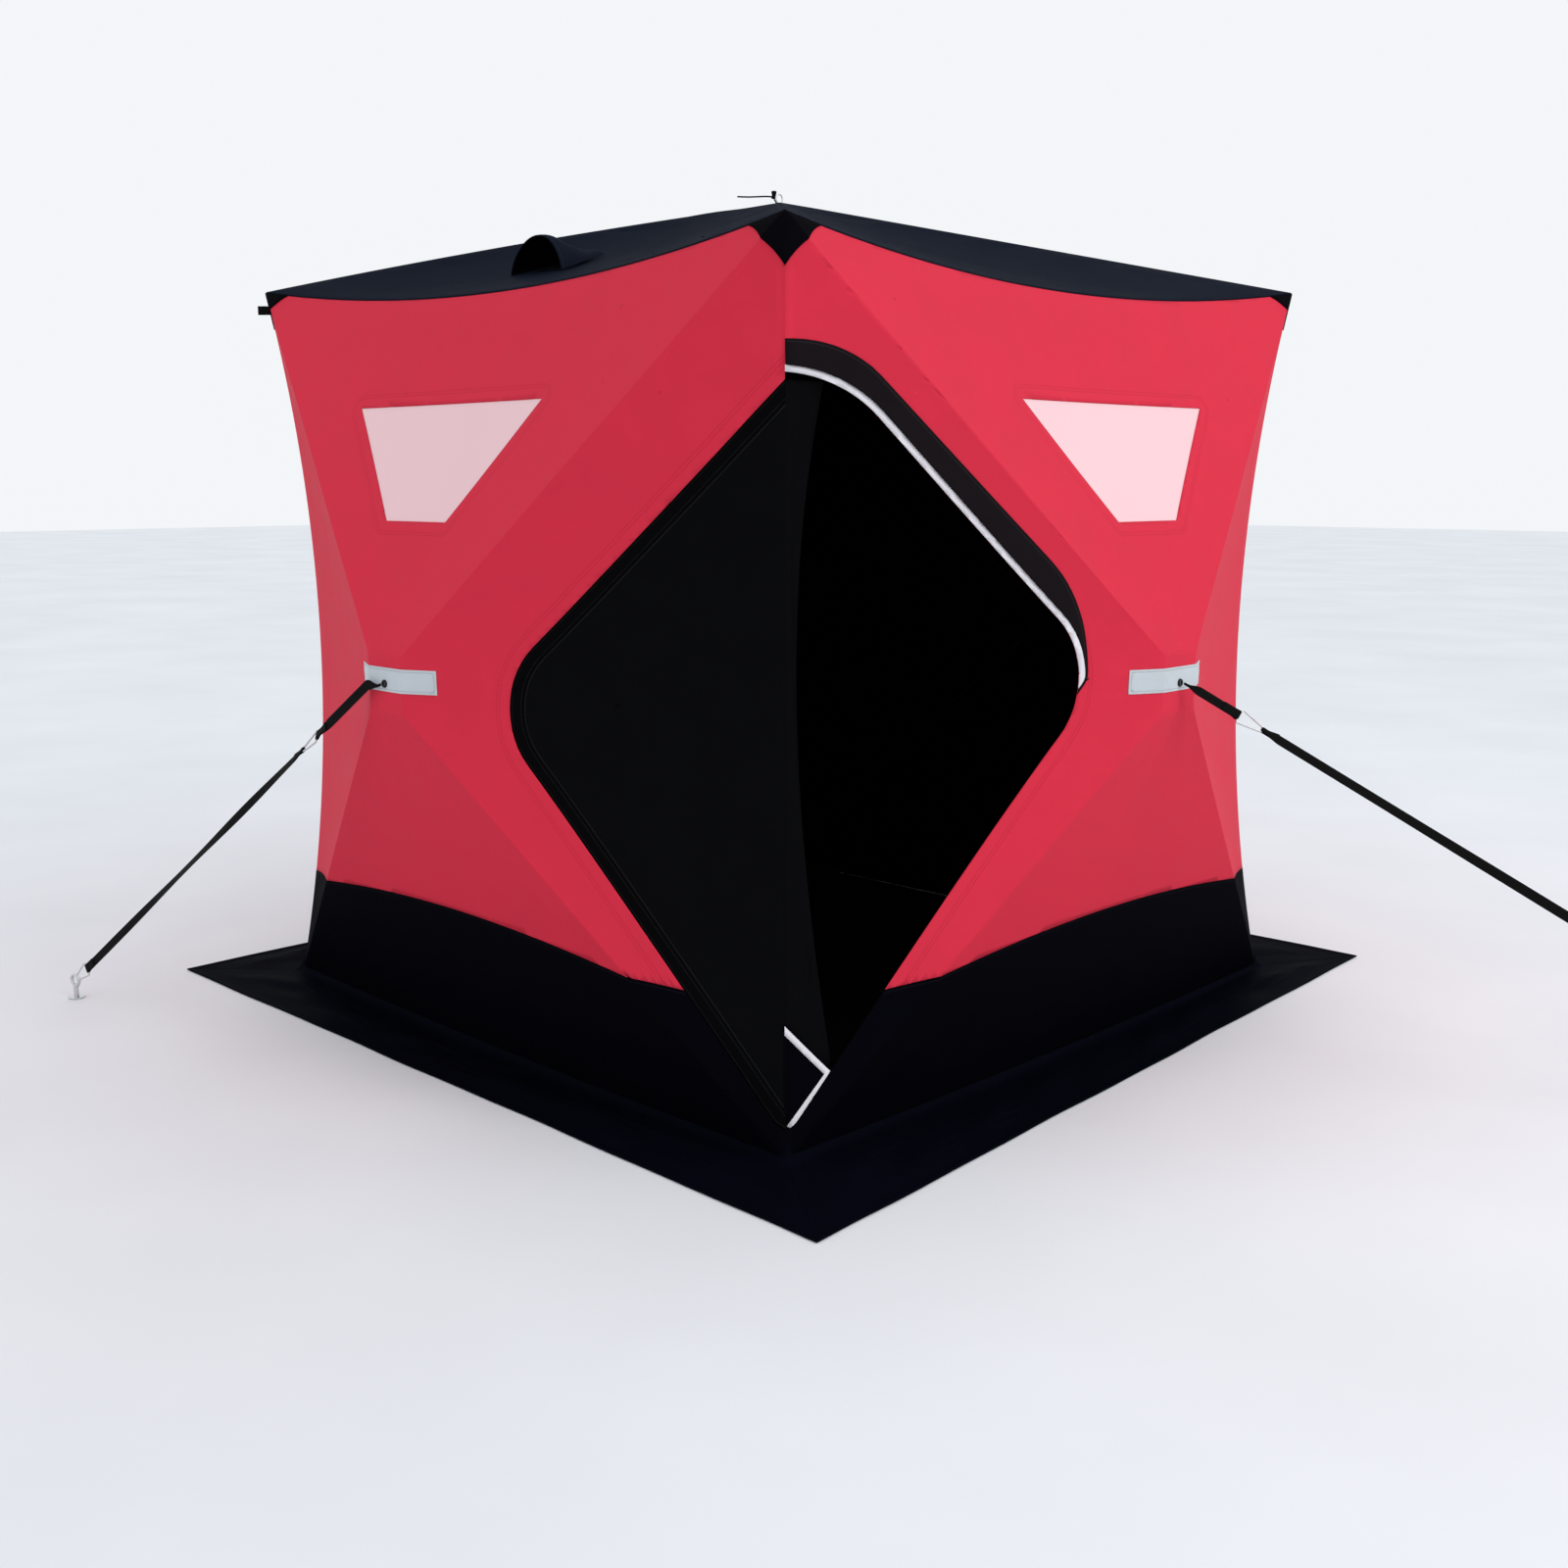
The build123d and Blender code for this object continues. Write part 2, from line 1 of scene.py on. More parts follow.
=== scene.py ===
# %% [markdown]
# A pop-up ice fishing hut. Four cloth walls and a cloth roof are pulled tight over sprung poles.
# Each wall has a hub in its middle that pushes the cloth outward, so the wall folds into four
# taut facets. The hut has windows of pale film, a dark band and skirt at the bottom, a door that
# wraps round one corner, and webbing guys that hold the hubs outward.
#
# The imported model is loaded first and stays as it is. It gives every size and place. Cloth could
# be left as the plain solids of the model, but those have flat edges and no folds, so each cloth
# piece is made again here as a thin curved surface, and it stands in for its solid.

# %% Load the frame
import math

import bpy
import numpy as np
from mathutils import Matrix, Vector


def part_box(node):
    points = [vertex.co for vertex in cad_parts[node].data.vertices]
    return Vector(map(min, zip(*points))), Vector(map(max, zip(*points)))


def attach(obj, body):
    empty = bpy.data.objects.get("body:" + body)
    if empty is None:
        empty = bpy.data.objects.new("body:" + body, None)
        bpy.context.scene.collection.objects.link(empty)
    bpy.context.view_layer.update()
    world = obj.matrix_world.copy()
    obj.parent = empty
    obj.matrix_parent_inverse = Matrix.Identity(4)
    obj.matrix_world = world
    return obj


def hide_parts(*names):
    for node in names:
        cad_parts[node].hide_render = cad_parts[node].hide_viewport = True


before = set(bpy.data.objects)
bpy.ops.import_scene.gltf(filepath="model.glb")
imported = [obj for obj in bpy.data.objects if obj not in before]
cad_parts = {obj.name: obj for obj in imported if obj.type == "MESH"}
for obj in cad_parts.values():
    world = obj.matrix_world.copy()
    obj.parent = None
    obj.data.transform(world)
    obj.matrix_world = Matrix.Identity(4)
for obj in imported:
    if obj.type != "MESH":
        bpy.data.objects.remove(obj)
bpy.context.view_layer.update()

# %% [markdown]
# Sizes are in metres. The main ones are read off the frame's boxes, so that they can't drift from
# the model: half the hut's width, the height of the eaves, how far the hubs stand out, and the
# roof's peak. The rest repeat the model's own driving sizes.

# %% Sizes of the hut
SIDES = ["front", "right", "back", "left"]
DOOR_SIGN = {"front": 1, "right": -1, "back": 0, "left": 0}
CLOTH = 0.003
wall_low, wall_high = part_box("front_wall")
BASE_HALF = wall_high.x
WALL_HEIGHT = wall_high.z
HUB_FACE = -wall_low.y
ROOF_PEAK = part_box("front_roof_panel")[1].z - CLOTH
HUB_HEIGHT = 0.870
PLATEAU_HALF = 0.060
CORNER_WAIST = 0.090
SEAM_SAG = 0.065
SEAM_INSET = 0.030
BASE_BOW = 0.020
FOOT = 0.003
BAND_CORNER = 0.268
BAND_MIDDLE = 0.358
print("half width", round(BASE_HALF, 3), "eaves", round(WALL_HEIGHT, 3), "peak", round(ROOF_PEAK, 3))

# %% Sizes of the windows and the door
WINDOW_BOTTOM = 1.200
WINDOW_TOP = 1.445
WINDOW_HALF_TOP = 0.330
WINDOW_HALF_BOTTOM = 0.108
WINDOW_OFFSET = 0.040
WINDOW_FLANGE = 0.020
DOOR_CORNERS = {
    1: [(-0.225, 1.710), (0.679, 0.847), (0.018, 0.060), (-0.225, 0.060)],
    -1: [(-0.225, 1.476), (0.128, 1.476), (0.723, 0.900), (0.018, 0.060), (-0.225, 0.060)],
}
DOOR_RADII = {1: [0.175, 0.055], -1: [0.270, 0.175, 0.055]}
FLAP_CORNERS = [(-0.225, 1.532), (0.136, 1.532), (0.678, 1.033), (0.677, 0.888), (0.640, 0.836)]
FLAP_RADII = [0.230, 0.330, 0.040]
TAPE_WIDTH = 0.012
TAPE_MARGIN = 0.006
DOOR_LAP = 0.015
DOOR_BINDING = 0.026
PATCH_ALONG = 0.122
PATCH_DOWN = 0.087
PATCH_SIDE_DROP = 0.009
PATCH_HOLLOW_ALONG = 0.050
PATCH_HOLLOW_DOWN = 0.037
PATCH_ROWS = (0.022, 0.030, 0.045, 0.052, 0.067, 0.075)

# %% [markdown]
# A facet of the wall is a ruled surface: straight threads run from a curved seam to the small
# square over the hub. It could be pulled out of a subdivided plane by hand, but a formula with
# two parameters, s along the seam and t along the thread, gives the true tight form and places
# the grid's lines along the seams and folds.

# %% Curves and ruled grids
WELD_DECIMALS = 5


def closer_at_ends(count):
    """Numbers from -1 to 1 that lie closer together at both ends: the mean of u and sin(90 u)."""
    even = np.linspace(-1, 1, count)
    return (even + np.sin(even * math.pi / 2)) / 2


def arc(start, middle, end, count):
    """Points on the circle through three places. With half the chord h and the middle's height
    over it g, the radius is (h squared + g squared) / 2g, and a point at angle a lies R sin a
    along the chord and R cos a - R cos a_max off it."""
    start, middle, end = (np.array(place, float) for place in (start, middle, end))
    centre = (start + end) / 2
    half = np.linalg.norm(end - start) / 2
    rise = np.linalg.norm(middle - centre)
    radius = (half ** 2 + rise ** 2) / (2 * rise)
    reach = math.asin(half / radius)
    angle = reach * closer_at_ends(count)[:, None]
    along = (end - start) / (2 * half)
    off = (middle - centre) / rise
    return centre + along * radius * np.sin(angle) + off * radius * (np.cos(angle) - math.cos(reach))


def line(start, end, count):
    """Points between two places, closer together at both ends."""
    share = (closer_at_ends(count)[:, None] + 1) / 2
    return (1 - share) * np.array(start, float) + share * np.array(end, float)


def ruled(seam, edge, rows):
    """A grid of straight threads: the point at t is (1 - t) times the seam plus t times the edge.
    Returns the points with their s and t as columns 3 and 4, and the grid's triangles."""
    share = np.linspace(0, 1, rows)[:, None, None]
    points = (1 - share) * seam[None] + share * edge[None]
    s, t = np.meshgrid(closer_at_ends(len(seam)), np.linspace(0, 1, rows))
    table = np.concatenate([points, s[..., None], t[..., None]], axis=2).reshape(-1, 5)
    return table, grid_triangles(rows, len(seam))


def grid_quads(rows, columns):
    """The four corners of each cell of a grid of points stored row by row."""
    index = np.arange(rows * columns).reshape(rows, columns)
    low, high = index[:-1], index[1:]
    return np.stack([low[:, :-1], low[:, 1:], high[:, 1:], high[:, :-1]], axis=-1).reshape(-1, 4)


def grid_triangles(rows, columns):
    """Each cell of the grid as two triangles."""
    quads = grid_quads(rows, columns)
    return np.concatenate([quads[:, [0, 1, 2]], quads[:, [0, 2, 3]]])


def without_slivers(triangles):
    """Only the triangles whose three corners are three different points."""
    a, b, c = triangles.T
    return triangles[(a != b) & (b != c) & (c != a)]


def welded(parts):
    """Puts grids together, with points that share a place kept once."""
    points = np.concatenate([table for table, _ in parts])
    starts = np.cumsum([0] + [len(table) for table, _ in parts[:-1]])
    triangles = np.concatenate([faces + start for (_, faces), start in zip(parts, starts)])
    _, first, same = np.unique(np.round(points[:, :3], WELD_DECIMALS), axis=0,
                               return_index=True, return_inverse=True)
    return points[first], without_slivers(same.reshape(-1)[triangles])


def facing(points, triangles, direction):
    """Turns each triangle that faces away from a direction."""
    a, b, c = (points[triangles[:, i], :3] for i in range(3))
    away = np.cross(b - a, c - a) @ np.array(direction, float) < 0
    triangles[away] = triangles[away][:, ::-1]
    return triangles


def normals_of(points, triangles):
    """Each point's normal: the sum of its triangles' cross products, at length one."""
    a, b, c = (points[triangles[:, i]] for i in range(3))
    cross = np.cross(b - a, c - a)
    total = np.zeros_like(points)
    for i in range(3):
        np.add.at(total, triangles[:, i], cross)
    return total / np.maximum(np.linalg.norm(total, axis=1, keepdims=True), 1e-12)


print("closer at the ends:", closer_at_ends(5).round(3), "and a grid's first cell:", grid_quads(3, 3)[0])

# %% The front wall's facets
COLUMNS = 81
ROWS = 45
corner_half = (BASE_HALF * math.sqrt(2) - CORNER_WAIST) / math.sqrt(2)
middle_height = (WALL_HEIGHT + FOOT) / 2


def corner_seam(sign, count):
    """The bowed corner edge of the front wall, from the foot to the eaves."""
    return arc((sign * BASE_HALF, -BASE_HALF, FOOT), (sign * corner_half, -corner_half, middle_height),
               (sign * BASE_HALF, -BASE_HALF, WALL_HEIGHT), count)


def corner_distance(height):
    """How far the bowed corner edge lies from the hut's axis at each height."""
    half = (WALL_HEIGHT - FOOT) / 2
    radius = (half ** 2 + CORNER_WAIST ** 2) / (2 * CORNER_WAIST)
    bow = np.sqrt(radius ** 2 - (height - middle_height) ** 2) - (radius - CORNER_WAIST)
    return BASE_HALF * math.sqrt(2) - bow


def eaves_seam(count):
    """The sagging seam between the front wall and the roof."""
    return arc((-BASE_HALF, -BASE_HALF, WALL_HEIGHT), (0, SEAM_INSET - BASE_HALF, WALL_HEIGHT - SEAM_SAG),
               (BASE_HALF, -BASE_HALF, WALL_HEIGHT), count)


def foot_seam(count):
    """The bowed line where the front wall meets its skirt."""
    return arc((-BASE_HALF, -BASE_HALF, FOOT), (0, -BASE_HALF - BASE_BOW, FOOT),
               (BASE_HALF, -BASE_HALF, FOOT), count)


def hub_edge(x1, z1, x2, z2, count):
    """One edge of the flat square over the hub."""
    start = (x1 * PLATEAU_HALF, -HUB_FACE, HUB_HEIGHT + z1 * PLATEAU_HALF)
    end = (x2 * PLATEAU_HALF, -HUB_FACE, HUB_HEIGHT + z2 * PLATEAU_HALF)
    return line(start, end, count)


def wall_grid():
    """The four facets and the square over the hub, as one welded surface that faces outward."""
    n = COLUMNS
    parts = [
        ruled(eaves_seam(n), hub_edge(-1, 1, 1, 1, n), ROWS),
        ruled(foot_seam(n), hub_edge(-1, -1, 1, -1, n), ROWS),
        ruled(corner_seam(1, n), hub_edge(1, -1, 1, 1, n), ROWS),
        ruled(corner_seam(-1, n), hub_edge(-1, -1, -1, 1, n), ROWS),
    ]
    inner = hub_edge(-1, -1, -1, 1, n)
    far = inner * [-1, 1, 1]
    square = np.stack([inner + (far - inner) * share for share in (closer_at_ends(n) + 1) / 2], axis=1)
    flat = np.tile([0.0, 1.0], (n * n, 1))
    square = np.concatenate([square.reshape(-1, 3), flat], axis=1), grid_triangles(n, n)
    points, triangles = welded(parts + [square])
    return points, facing(points, triangles, (0, -1, 0))


bare_wall, bare_triangles = wall_grid()
print("wall grid:", len(bare_wall), "points,", len(bare_triangles), "triangles")

# %% [markdown]
# Openings and bands are cut out of the wall's surface by fields. A field is a number at every
# point, positive on one side of a line and negative on the other, and each triangle that the
# zero line crosses is split along it. Boolean modifiers could cut too, but they leave long thin
# faces that shade badly, and the split keeps points shared, so neighbours still fit exactly.

# %% Splitting a surface along a field
NEAR_POINT = 0.03


def split(points, triangles, field):
    """Splits every triangle that the field's zero line crosses into three. The new point on an
    edge lies at the share f1 / (f1 - f2) of its length, moved on by the field that is left there
    over f1 - f2, three times. An old point within NEAR_POINT of the edge's length is used."""
    value = field(points)
    above = value > 0
    count = above[triangles].sum(axis=1)
    crossed = (count == 1) | (count == 2)
    cut = triangles[crossed]
    lone = np.where(count[crossed][:, None] == 1, above[cut], ~above[cut]).argmax(axis=1)
    order = (lone[:, None] + np.arange(3)) % 3
    cut = np.take_along_axis(cut, order, axis=1)
    edges = np.concatenate([cut[:, [0, 1]], cut[:, [0, 2]]])
    pairs, place = np.unique(np.sort(edges, axis=1), axis=0, return_inverse=True)
    f1, f2 = value[pairs[:, 0]], value[pairs[:, 1]]
    share = (f1 / (f1 - f2))[:, None]
    for _ in range(3):
        fresh = (1 - share) * points[pairs[:, 0]] + share * points[pairs[:, 1]]
        share = np.clip(share + (field(fresh) / (f1 - f2))[:, None], 0, 1)
    fresh = (1 - share) * points[pairs[:, 0]] + share * points[pairs[:, 1]]
    number = len(points) + np.arange(len(pairs))
    number = np.where(share[:, 0] < NEAR_POINT, pairs[:, 0], number)
    number = np.where(share[:, 0] > 1 - NEAR_POINT, pairs[:, 1], number)
    number = number[place.reshape(-1)]
    p, q = number[:len(cut)], number[len(cut):]
    pieces = np.concatenate([
        triangles[~crossed],
        np.stack([cut[:, 0], p, q], axis=1),
        np.stack([p, cut[:, 1], cut[:, 2]], axis=1),
        np.stack([p, cut[:, 2], q], axis=1),
    ])
    return np.concatenate([points, fresh]), without_slivers(pieces)


def kept(points, triangles, choose):
    """The triangles whose centres the chooser accepts, with only the points that they use."""
    centres = points[triangles].mean(axis=1)
    triangles = triangles[choose(centres)]
    used, place = np.unique(triangles, return_inverse=True)
    return used, place.reshape(-1, 3)


def level(height):
    """A field that is positive above a height."""
    return lambda points: points[:, 2] - height


halved = split(bare_wall, bare_triangles, level(HUB_HEIGHT + PLATEAU_HALF / 2))
print("a wall split along one level:", len(halved[1]) - len(bare_triangles), "more triangles")

# %% Outlines and the distance from them
def beside(p, q):
    """A field over (x, z): the distance from the line through p and q, positive on its left."""
    p, q = np.array(p, float), np.array(q, float)
    along = (q - p) / np.linalg.norm(q - p)
    return lambda points: along[0] * (points[:, 2] - p[1]) - along[1] * (points[:, 0] - p[0])


def rounded(corners, radii, steps=14):
    """An outline through corners, with each inner corner turned by an arc of its radius. The arc
    starts and ends at radius times the tangent of half the turn from the corner."""
    corners = [np.array(corner, float) for corner in corners]
    path = [corners[0]]
    for before, corner, after, radius in zip(corners, corners[1:], corners[2:], radii):
        came = (corner - before) / np.linalg.norm(corner - before)
        goes = (after - corner) / np.linalg.norm(after - corner)
        turn = math.atan2(came[0] * goes[1] - came[1] * goes[0], came @ goes)
        start = corner - came * radius * math.tan(abs(turn) / 2)
        side = np.array([-came[1], came[0]]) * math.copysign(1, turn)
        centre = start + side * radius
        for angle in np.linspace(0, turn, steps):
            cosine, sine = math.cos(angle), math.sin(angle)
            path.append(centre + np.array([[cosine, -sine], [sine, cosine]]) @ (start - centre))
    path.append(corners[-1])
    return np.array(path)


def from_corner(corners, sign):
    """Places given as (distance from the door corner, height), as (x, z) on the wall."""
    return [(sign * (BASE_HALF - along), height) for along, height in corners]


def nearest(outline, points):
    """For each point, its distance from a closed outline over (x, z), negative inside, and the
    length along the outline to the nearest place."""
    a = outline
    b = np.roll(outline, -1, axis=0)
    step = b - a
    length = np.linalg.norm(step, axis=1)
    place = points[:, [0, 2]][:, None]
    share = np.clip(((place - a) * step).sum(axis=2) / length ** 2, 0, 1)
    apart = np.linalg.norm(place - a - share[..., None] * step, axis=2)
    best = apart.argmin(axis=1)
    rows = np.arange(len(points))
    run = (np.cumsum(length) - length)[best] + share[rows, best] * length[best]
    z = place[..., 1]
    crosses = (a[:, 1] > z) != (b[:, 1] > z)
    height = np.where(step[:, 1] == 0, 1, step[:, 1])
    at = a[:, 0] + (z - a[:, 1]) * step[:, 0] / height
    inside = (crosses & (place[..., 0] < at)).sum(axis=1) % 2 == 1
    return np.where(inside, -1, 1) * apart[rows, best], run


def outline_field(outline, grow=0.0):
    """A field that is the distance from an outline that has been grown, negative inside."""
    return lambda points: nearest(outline, points)[0] - grow


arch = rounded([(0, 0), (0, 1), (1, 1)], [0.5])
print("a square corner turned by an arc of 0.5:", len(arch), "points, middle", arch[len(arch) // 2].round(3))

# %% Outlines of the door, its cover and the windows
def closed_door(sign):
    """The half of the door's rounded diamond that lies on one wall."""
    return rounded(from_corner(DOOR_CORNERS[sign], sign), DOOR_RADII[sign])


def closed_flap(sign):
    """The outer edge of the cover over the zip, closed inside the door."""
    path = rounded(from_corner(FLAP_CORNERS, sign), FLAP_RADII)
    return np.concatenate([path, [[path[0, 0], path[-1, 1]]]])


def window_corners(sign, grow=0.0):
    """The window's trapezoid, anticlockwise, with its sides moved outward by grow."""
    middle = -sign * WINDOW_OFFSET
    slope = (WINDOW_HALF_TOP - WINDOW_HALF_BOTTOM) / (WINDOW_TOP - WINDOW_BOTTOM)
    side = grow * math.sqrt(1 + slope ** 2)
    low = WINDOW_HALF_BOTTOM - slope * grow + side
    high = WINDOW_HALF_TOP + slope * grow + side
    return [(middle - low, WINDOW_BOTTOM - grow), (middle + low, WINDOW_BOTTOM - grow),
            (middle + high, WINDOW_TOP + grow), (middle - high, WINDOW_TOP + grow)]


def sides_of(corners):
    """One field for each side of a convex outline that runs anticlockwise, positive inside."""
    return [beside(p, q) for p, q in zip(corners, corners[1:] + corners[:1])]


def all_positive(fields):
    """A chooser for where every one of some fields is positive."""
    return lambda points: np.all([field(points) > 0 for field in fields], axis=0)


def within(corners):
    """A chooser for what lies inside a convex outline."""
    return all_positive(sides_of(corners))


def over_band(points):
    """A field that is positive above the band's arched top, which falls with x squared."""
    fall = (BAND_MIDDLE - BAND_CORNER) * (points[:, 0] / BASE_HALF) ** 2
    return points[:, 2] - BAND_MIDDLE + fall


def ribbon_outline(path, width):
    """A closed outline of one width round an open path of a few points, mitred at its turns."""
    path = np.array(path, float)
    step = np.diff(path, axis=0)
    step /= np.linalg.norm(step, axis=1, keepdims=True)
    side = np.stack([-step[:, 1], step[:, 0]], axis=1)
    mitre = np.concatenate([side[:1], side[:-1] + side[1:], side[-1:]])
    mitre /= np.linalg.norm(mitre, axis=1, keepdims=True)
    reach = width / 2 / (mitre * np.concatenate([side[:1], side])).sum(axis=1)[:, None]
    return np.concatenate([path + mitre * reach, (path - mitre * reach)[::-1]])


def patch_fields(sign):
    """All positive on the kite of roof cloth that folds down over a top corner. Its lower edge is
    an arc hollowed towards the corner, so the kite lies outside that arc's circle, and past both
    ends of the arc."""
    start = np.array([BASE_HALF - PATCH_ALONG, WALL_HEIGHT - PATCH_SIDE_DROP])
    middle = np.array([BASE_HALF - PATCH_HOLLOW_ALONG, WALL_HEIGHT - PATCH_HOLLOW_DOWN])
    tip_height = WALL_HEIGHT - PATCH_DOWN
    end = np.array([corner_distance(tip_height) / math.sqrt(2), tip_height])
    first, second = middle - start, end - start
    turn = 2 * (first[0] * second[1] - first[1] * second[0])
    a, b = first @ first, second @ second
    centre = start + np.array([second[1] * a - first[1] * b, first[0] * b - second[0] * a]) / turn
    radius = np.linalg.norm(start - centre)
    return [
        lambda points: sign * points[:, 0] - start[0],
        level(end[1]),
        lambda points: np.hypot(sign * points[:, 0] - centre[0], points[:, 2] - centre[1]) - radius,
    ]


STRIP_CORNERS = [(-0.135, 0.854), (0.135, 0.854), (0.135, 0.904), (-0.135, 0.904)]
TIP_PATH = [(0.018, 0.066), (0.101, 0.159), (0.006, 0.284)]
TIP_LINE = from_corner([(0.113, 0.159), (0.0, 0.312)], -1)
lower_tape_corners = ribbon_outline(from_corner(TIP_PATH, -1), TAPE_WIDTH)
print("door outline:", len(closed_door(1)), "points, flap:", len(closed_flap(-1)), "points")

# %% [markdown]
# Taut cloth isn't flat. Every facet swells a little, fine folds fan out of the corners and the
# hub where the poles pull, and the seams pucker. A cloth simulation could find such folds, but on
# cloth under tension they are only millimetres deep and a solver hardly moves it, so the swell
# and the fans are added as waves. They fade to nothing at the corner seams, where walls meet.

# %% Folds of the taut walls
FAN_CENTRES = [(-BASE_HALF, WALL_HEIGHT), (BASE_HALF, WALL_HEIGHT), (-BASE_HALF, 0.0), (BASE_HALF, 0.0),
               (0.0, HUB_HEIGHT)]
SWELL = 0.010
FAN_DEPTH = 0.00036
FAN_START = 0.18
FAN_REACH = 0.42
LONG_WAVE = 0.0006


def smooth(value):
    """Rises from 0 to 1 as 3 v squared - 2 v cubed."""
    value = np.clip(value, 0, 1)
    return value * value * (3 - 2 * value)


def folds(table, seed):
    """How far the cloth stands out. The swell is (1 - s squared) times 4 t (1 - t), and a fan is
    a sine of the angle round its centre that fades with the distance."""
    rng = np.random.default_rng(seed)
    x, z, s, t = table[:, 0], table[:, 2], table[:, 3], table[:, 4]
    depth = -SWELL * (1 - s ** 2) * 4 * t * (1 - t)
    for centre_x, centre_z in FAN_CENTRES:
        angle = np.arctan2(z - centre_z, x - centre_x)
        distance = np.hypot(x - centre_x, z - centre_z)
        count = rng.uniform(11, 17)
        wave = np.sin(count * angle + rng.uniform(0, 6))
        wave += 0.5 * np.sin(2.3 * count * angle + rng.uniform(0, 6))
        near = smooth(distance / FAN_START) * np.exp(-(distance / FAN_REACH) ** 2)
        depth += FAN_DEPTH * wave * near
    for _ in range(5):
        across, up = rng.uniform(-7, 7, 2)
        depth += LONG_WAVE * np.sin(across * x + up * z + rng.uniform(0, 6))
    return depth * smooth(t / 0.16)


def wall_surface(side):
    """One wall as the front wall: the table of points with s and t, the points where the folded
    cloth lies, their normals, and the triangles, split along every outline of that wall."""
    sign = DOOR_SIGN[side]
    points, triangles = bare_wall, bare_triangles
    fields = [level(WALL_HEIGHT - drop) for drop in PATCH_ROWS]
    fields += [over_band] + sides_of(window_corners(sign)) + sides_of(window_corners(sign, WINDOW_FLANGE))
    fields += sides_of(STRIP_CORNERS) + patch_fields(1) + patch_fields(-1)
    if sign:
        door = closed_door(sign)
        fields += [outline_field(door), outline_field(door, DOOR_LAP), outline_field(door, -DOOR_BINDING)]
    if side == "right":
        fields += [outline_field(door, TAPE_WIDTH), outline_field(closed_flap(sign)), beside(*TIP_LINE)]
        fields += sides_of(list(lower_tape_corners))
        fields += [outline_field(closed_flap(sign), -TAPE_MARGIN)]
    for field in fields:
        points, triangles = split(points, triangles, field)
    placed = points[:, :3].copy()
    placed[:, 1] -= folds(points, 20 + SIDES.index(side))
    return points, placed, normals_of(placed, triangles), triangles


SURFACES = {side: wall_surface(side) for side in SIDES}
for side in SIDES:
    print(side, "surface:", len(SURFACES[side][0]), "points")

# %% [markdown]
# A piece is put into Blender from plain arrays. Its UV map is in metres of cloth, so a weave or a
# row of stitches keeps its true size, and it carries two numbers at each point for the materials:
# how far the point is from the piece's sewn edge, and how far along that edge.

# %% Making a piece from arrays
THICKNESS = {"wall": 0.0014, "band": 0.0018, "door": 0.0014, "film": 0.0006, "binding": 0.0016,
             "zip cover": 0.0015, "upper tape": 0.0024, "lower tape": 0.0016, "strip": 0.0012,
             "patch": 0.0020, "roof": 0.0028, "hood": 0.0022, "netting": 0.0004, "skirt": 0.0022}
THINNED = 0.012
SPARSE = 0.3
FULL = 0.6


def turned(points, side):
    """Points of a front-wall piece, turned to their own side of the hut."""
    angle = SIDES.index(side) * math.pi / 2
    cosine, sine = math.cos(angle), math.sin(angle)
    return points @ np.array([[cosine, sine, 0], [-sine, cosine, 0], [0, 0, 1]])


def flat_area(points, triangles):
    """The sum of the triangles' areas."""
    a, b, c = (points[triangles[:, i]] for i in range(3))
    return float(np.linalg.norm(np.cross(b - a, c - a), axis=1).sum() / 2)


def new_piece(name, points, faces, materials, nodes, uv=None, edge=None, run=None):
    """An object from points and faces, with its finishes, what it stands for, and its body."""
    mesh = bpy.data.meshes.new(name)
    mesh.from_pydata(np.asarray(points, float).tolist(), [], [list(face) for face in faces])
    mesh.shade_smooth()
    corner_points = np.empty(len(mesh.loops), dtype=np.int32)
    mesh.loops.foreach_get("vertex_index", corner_points)
    if uv is not None:
        layer = mesh.uv_layers.new(name="cloth")
        layer.data.foreach_set("uv", np.asarray(uv, np.float32)[corner_points].ravel())
    for label, values in (("edge", edge), ("run", run)):
        if values is not None:
            attribute = mesh.attributes.new(label, "FLOAT", "POINT")
            attribute.data.foreach_set("value", np.asarray(values, np.float32))
    for material in materials:
        mesh.materials.append(material)
    piece = bpy.data.objects.new(name, mesh)
    bpy.context.scene.collection.objects.link(piece)
    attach(piece, "root")
    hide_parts(*nodes)
    return piece


def give_thickness(piece, kind, share=None):
    """Thickness behind the surface. The inner side takes the second material, if there is one. A
    share below 1 at a point thins it there."""
    solid = piece.modifiers.new("thickness", "SOLIDIFY")
    solid.thickness = THICKNESS[kind]
    solid.offset = -1
    solid.material_offset = len(piece.data.materials) - 1
    if share is not None:
        group = piece.vertex_groups.new(name="thickness")
        group.add(list(range(len(share))), 1.0, "REPLACE")
        for index in np.flatnonzero(share < 1).tolist():
            group.add([index], float(share[index]), "REPLACE")
        solid.vertex_group = group.name


def share_at_corner(table):
    """Thins cloth to nothing over the last THINNED metres before a corner seam, so that two
    walls' cut edges don't overlap."""
    to_corner = corner_distance(table[:, 2]) / math.sqrt(2) - np.abs(table[:, 0])
    return np.clip(to_corner / THINNED, 0, 1)


def declare_sheet(points, triangles):
    """Works out a piece's flat size: its area, and the two longer sides of its box, with the width
    mended where the area says that it was curved or mostly empty. Returns only the area; the width
    and length aren't used."""
    area = flat_area(np.asarray(points, float), np.asarray(triangles))
    _, width, length = sorted((points.max(axis=0) - points.min(axis=0)).tolist())
    width = max(width, area / length)
    if area < SPARSE * width * length:
        width = area / (FULL * length)
    return area


print("a quarter turn takes x to", turned(np.array([[1.0, 0, 0]]), "right")[0].round(3))

# %% [markdown]
# Materials come next. Effects that many of them share are node groups with named inputs: a
# weave and a row of stitches. The shader itself stays in each material. A painted picture could
# give more cloth detail, but it would blur close up, while these patterns are worked out at
# every scale.

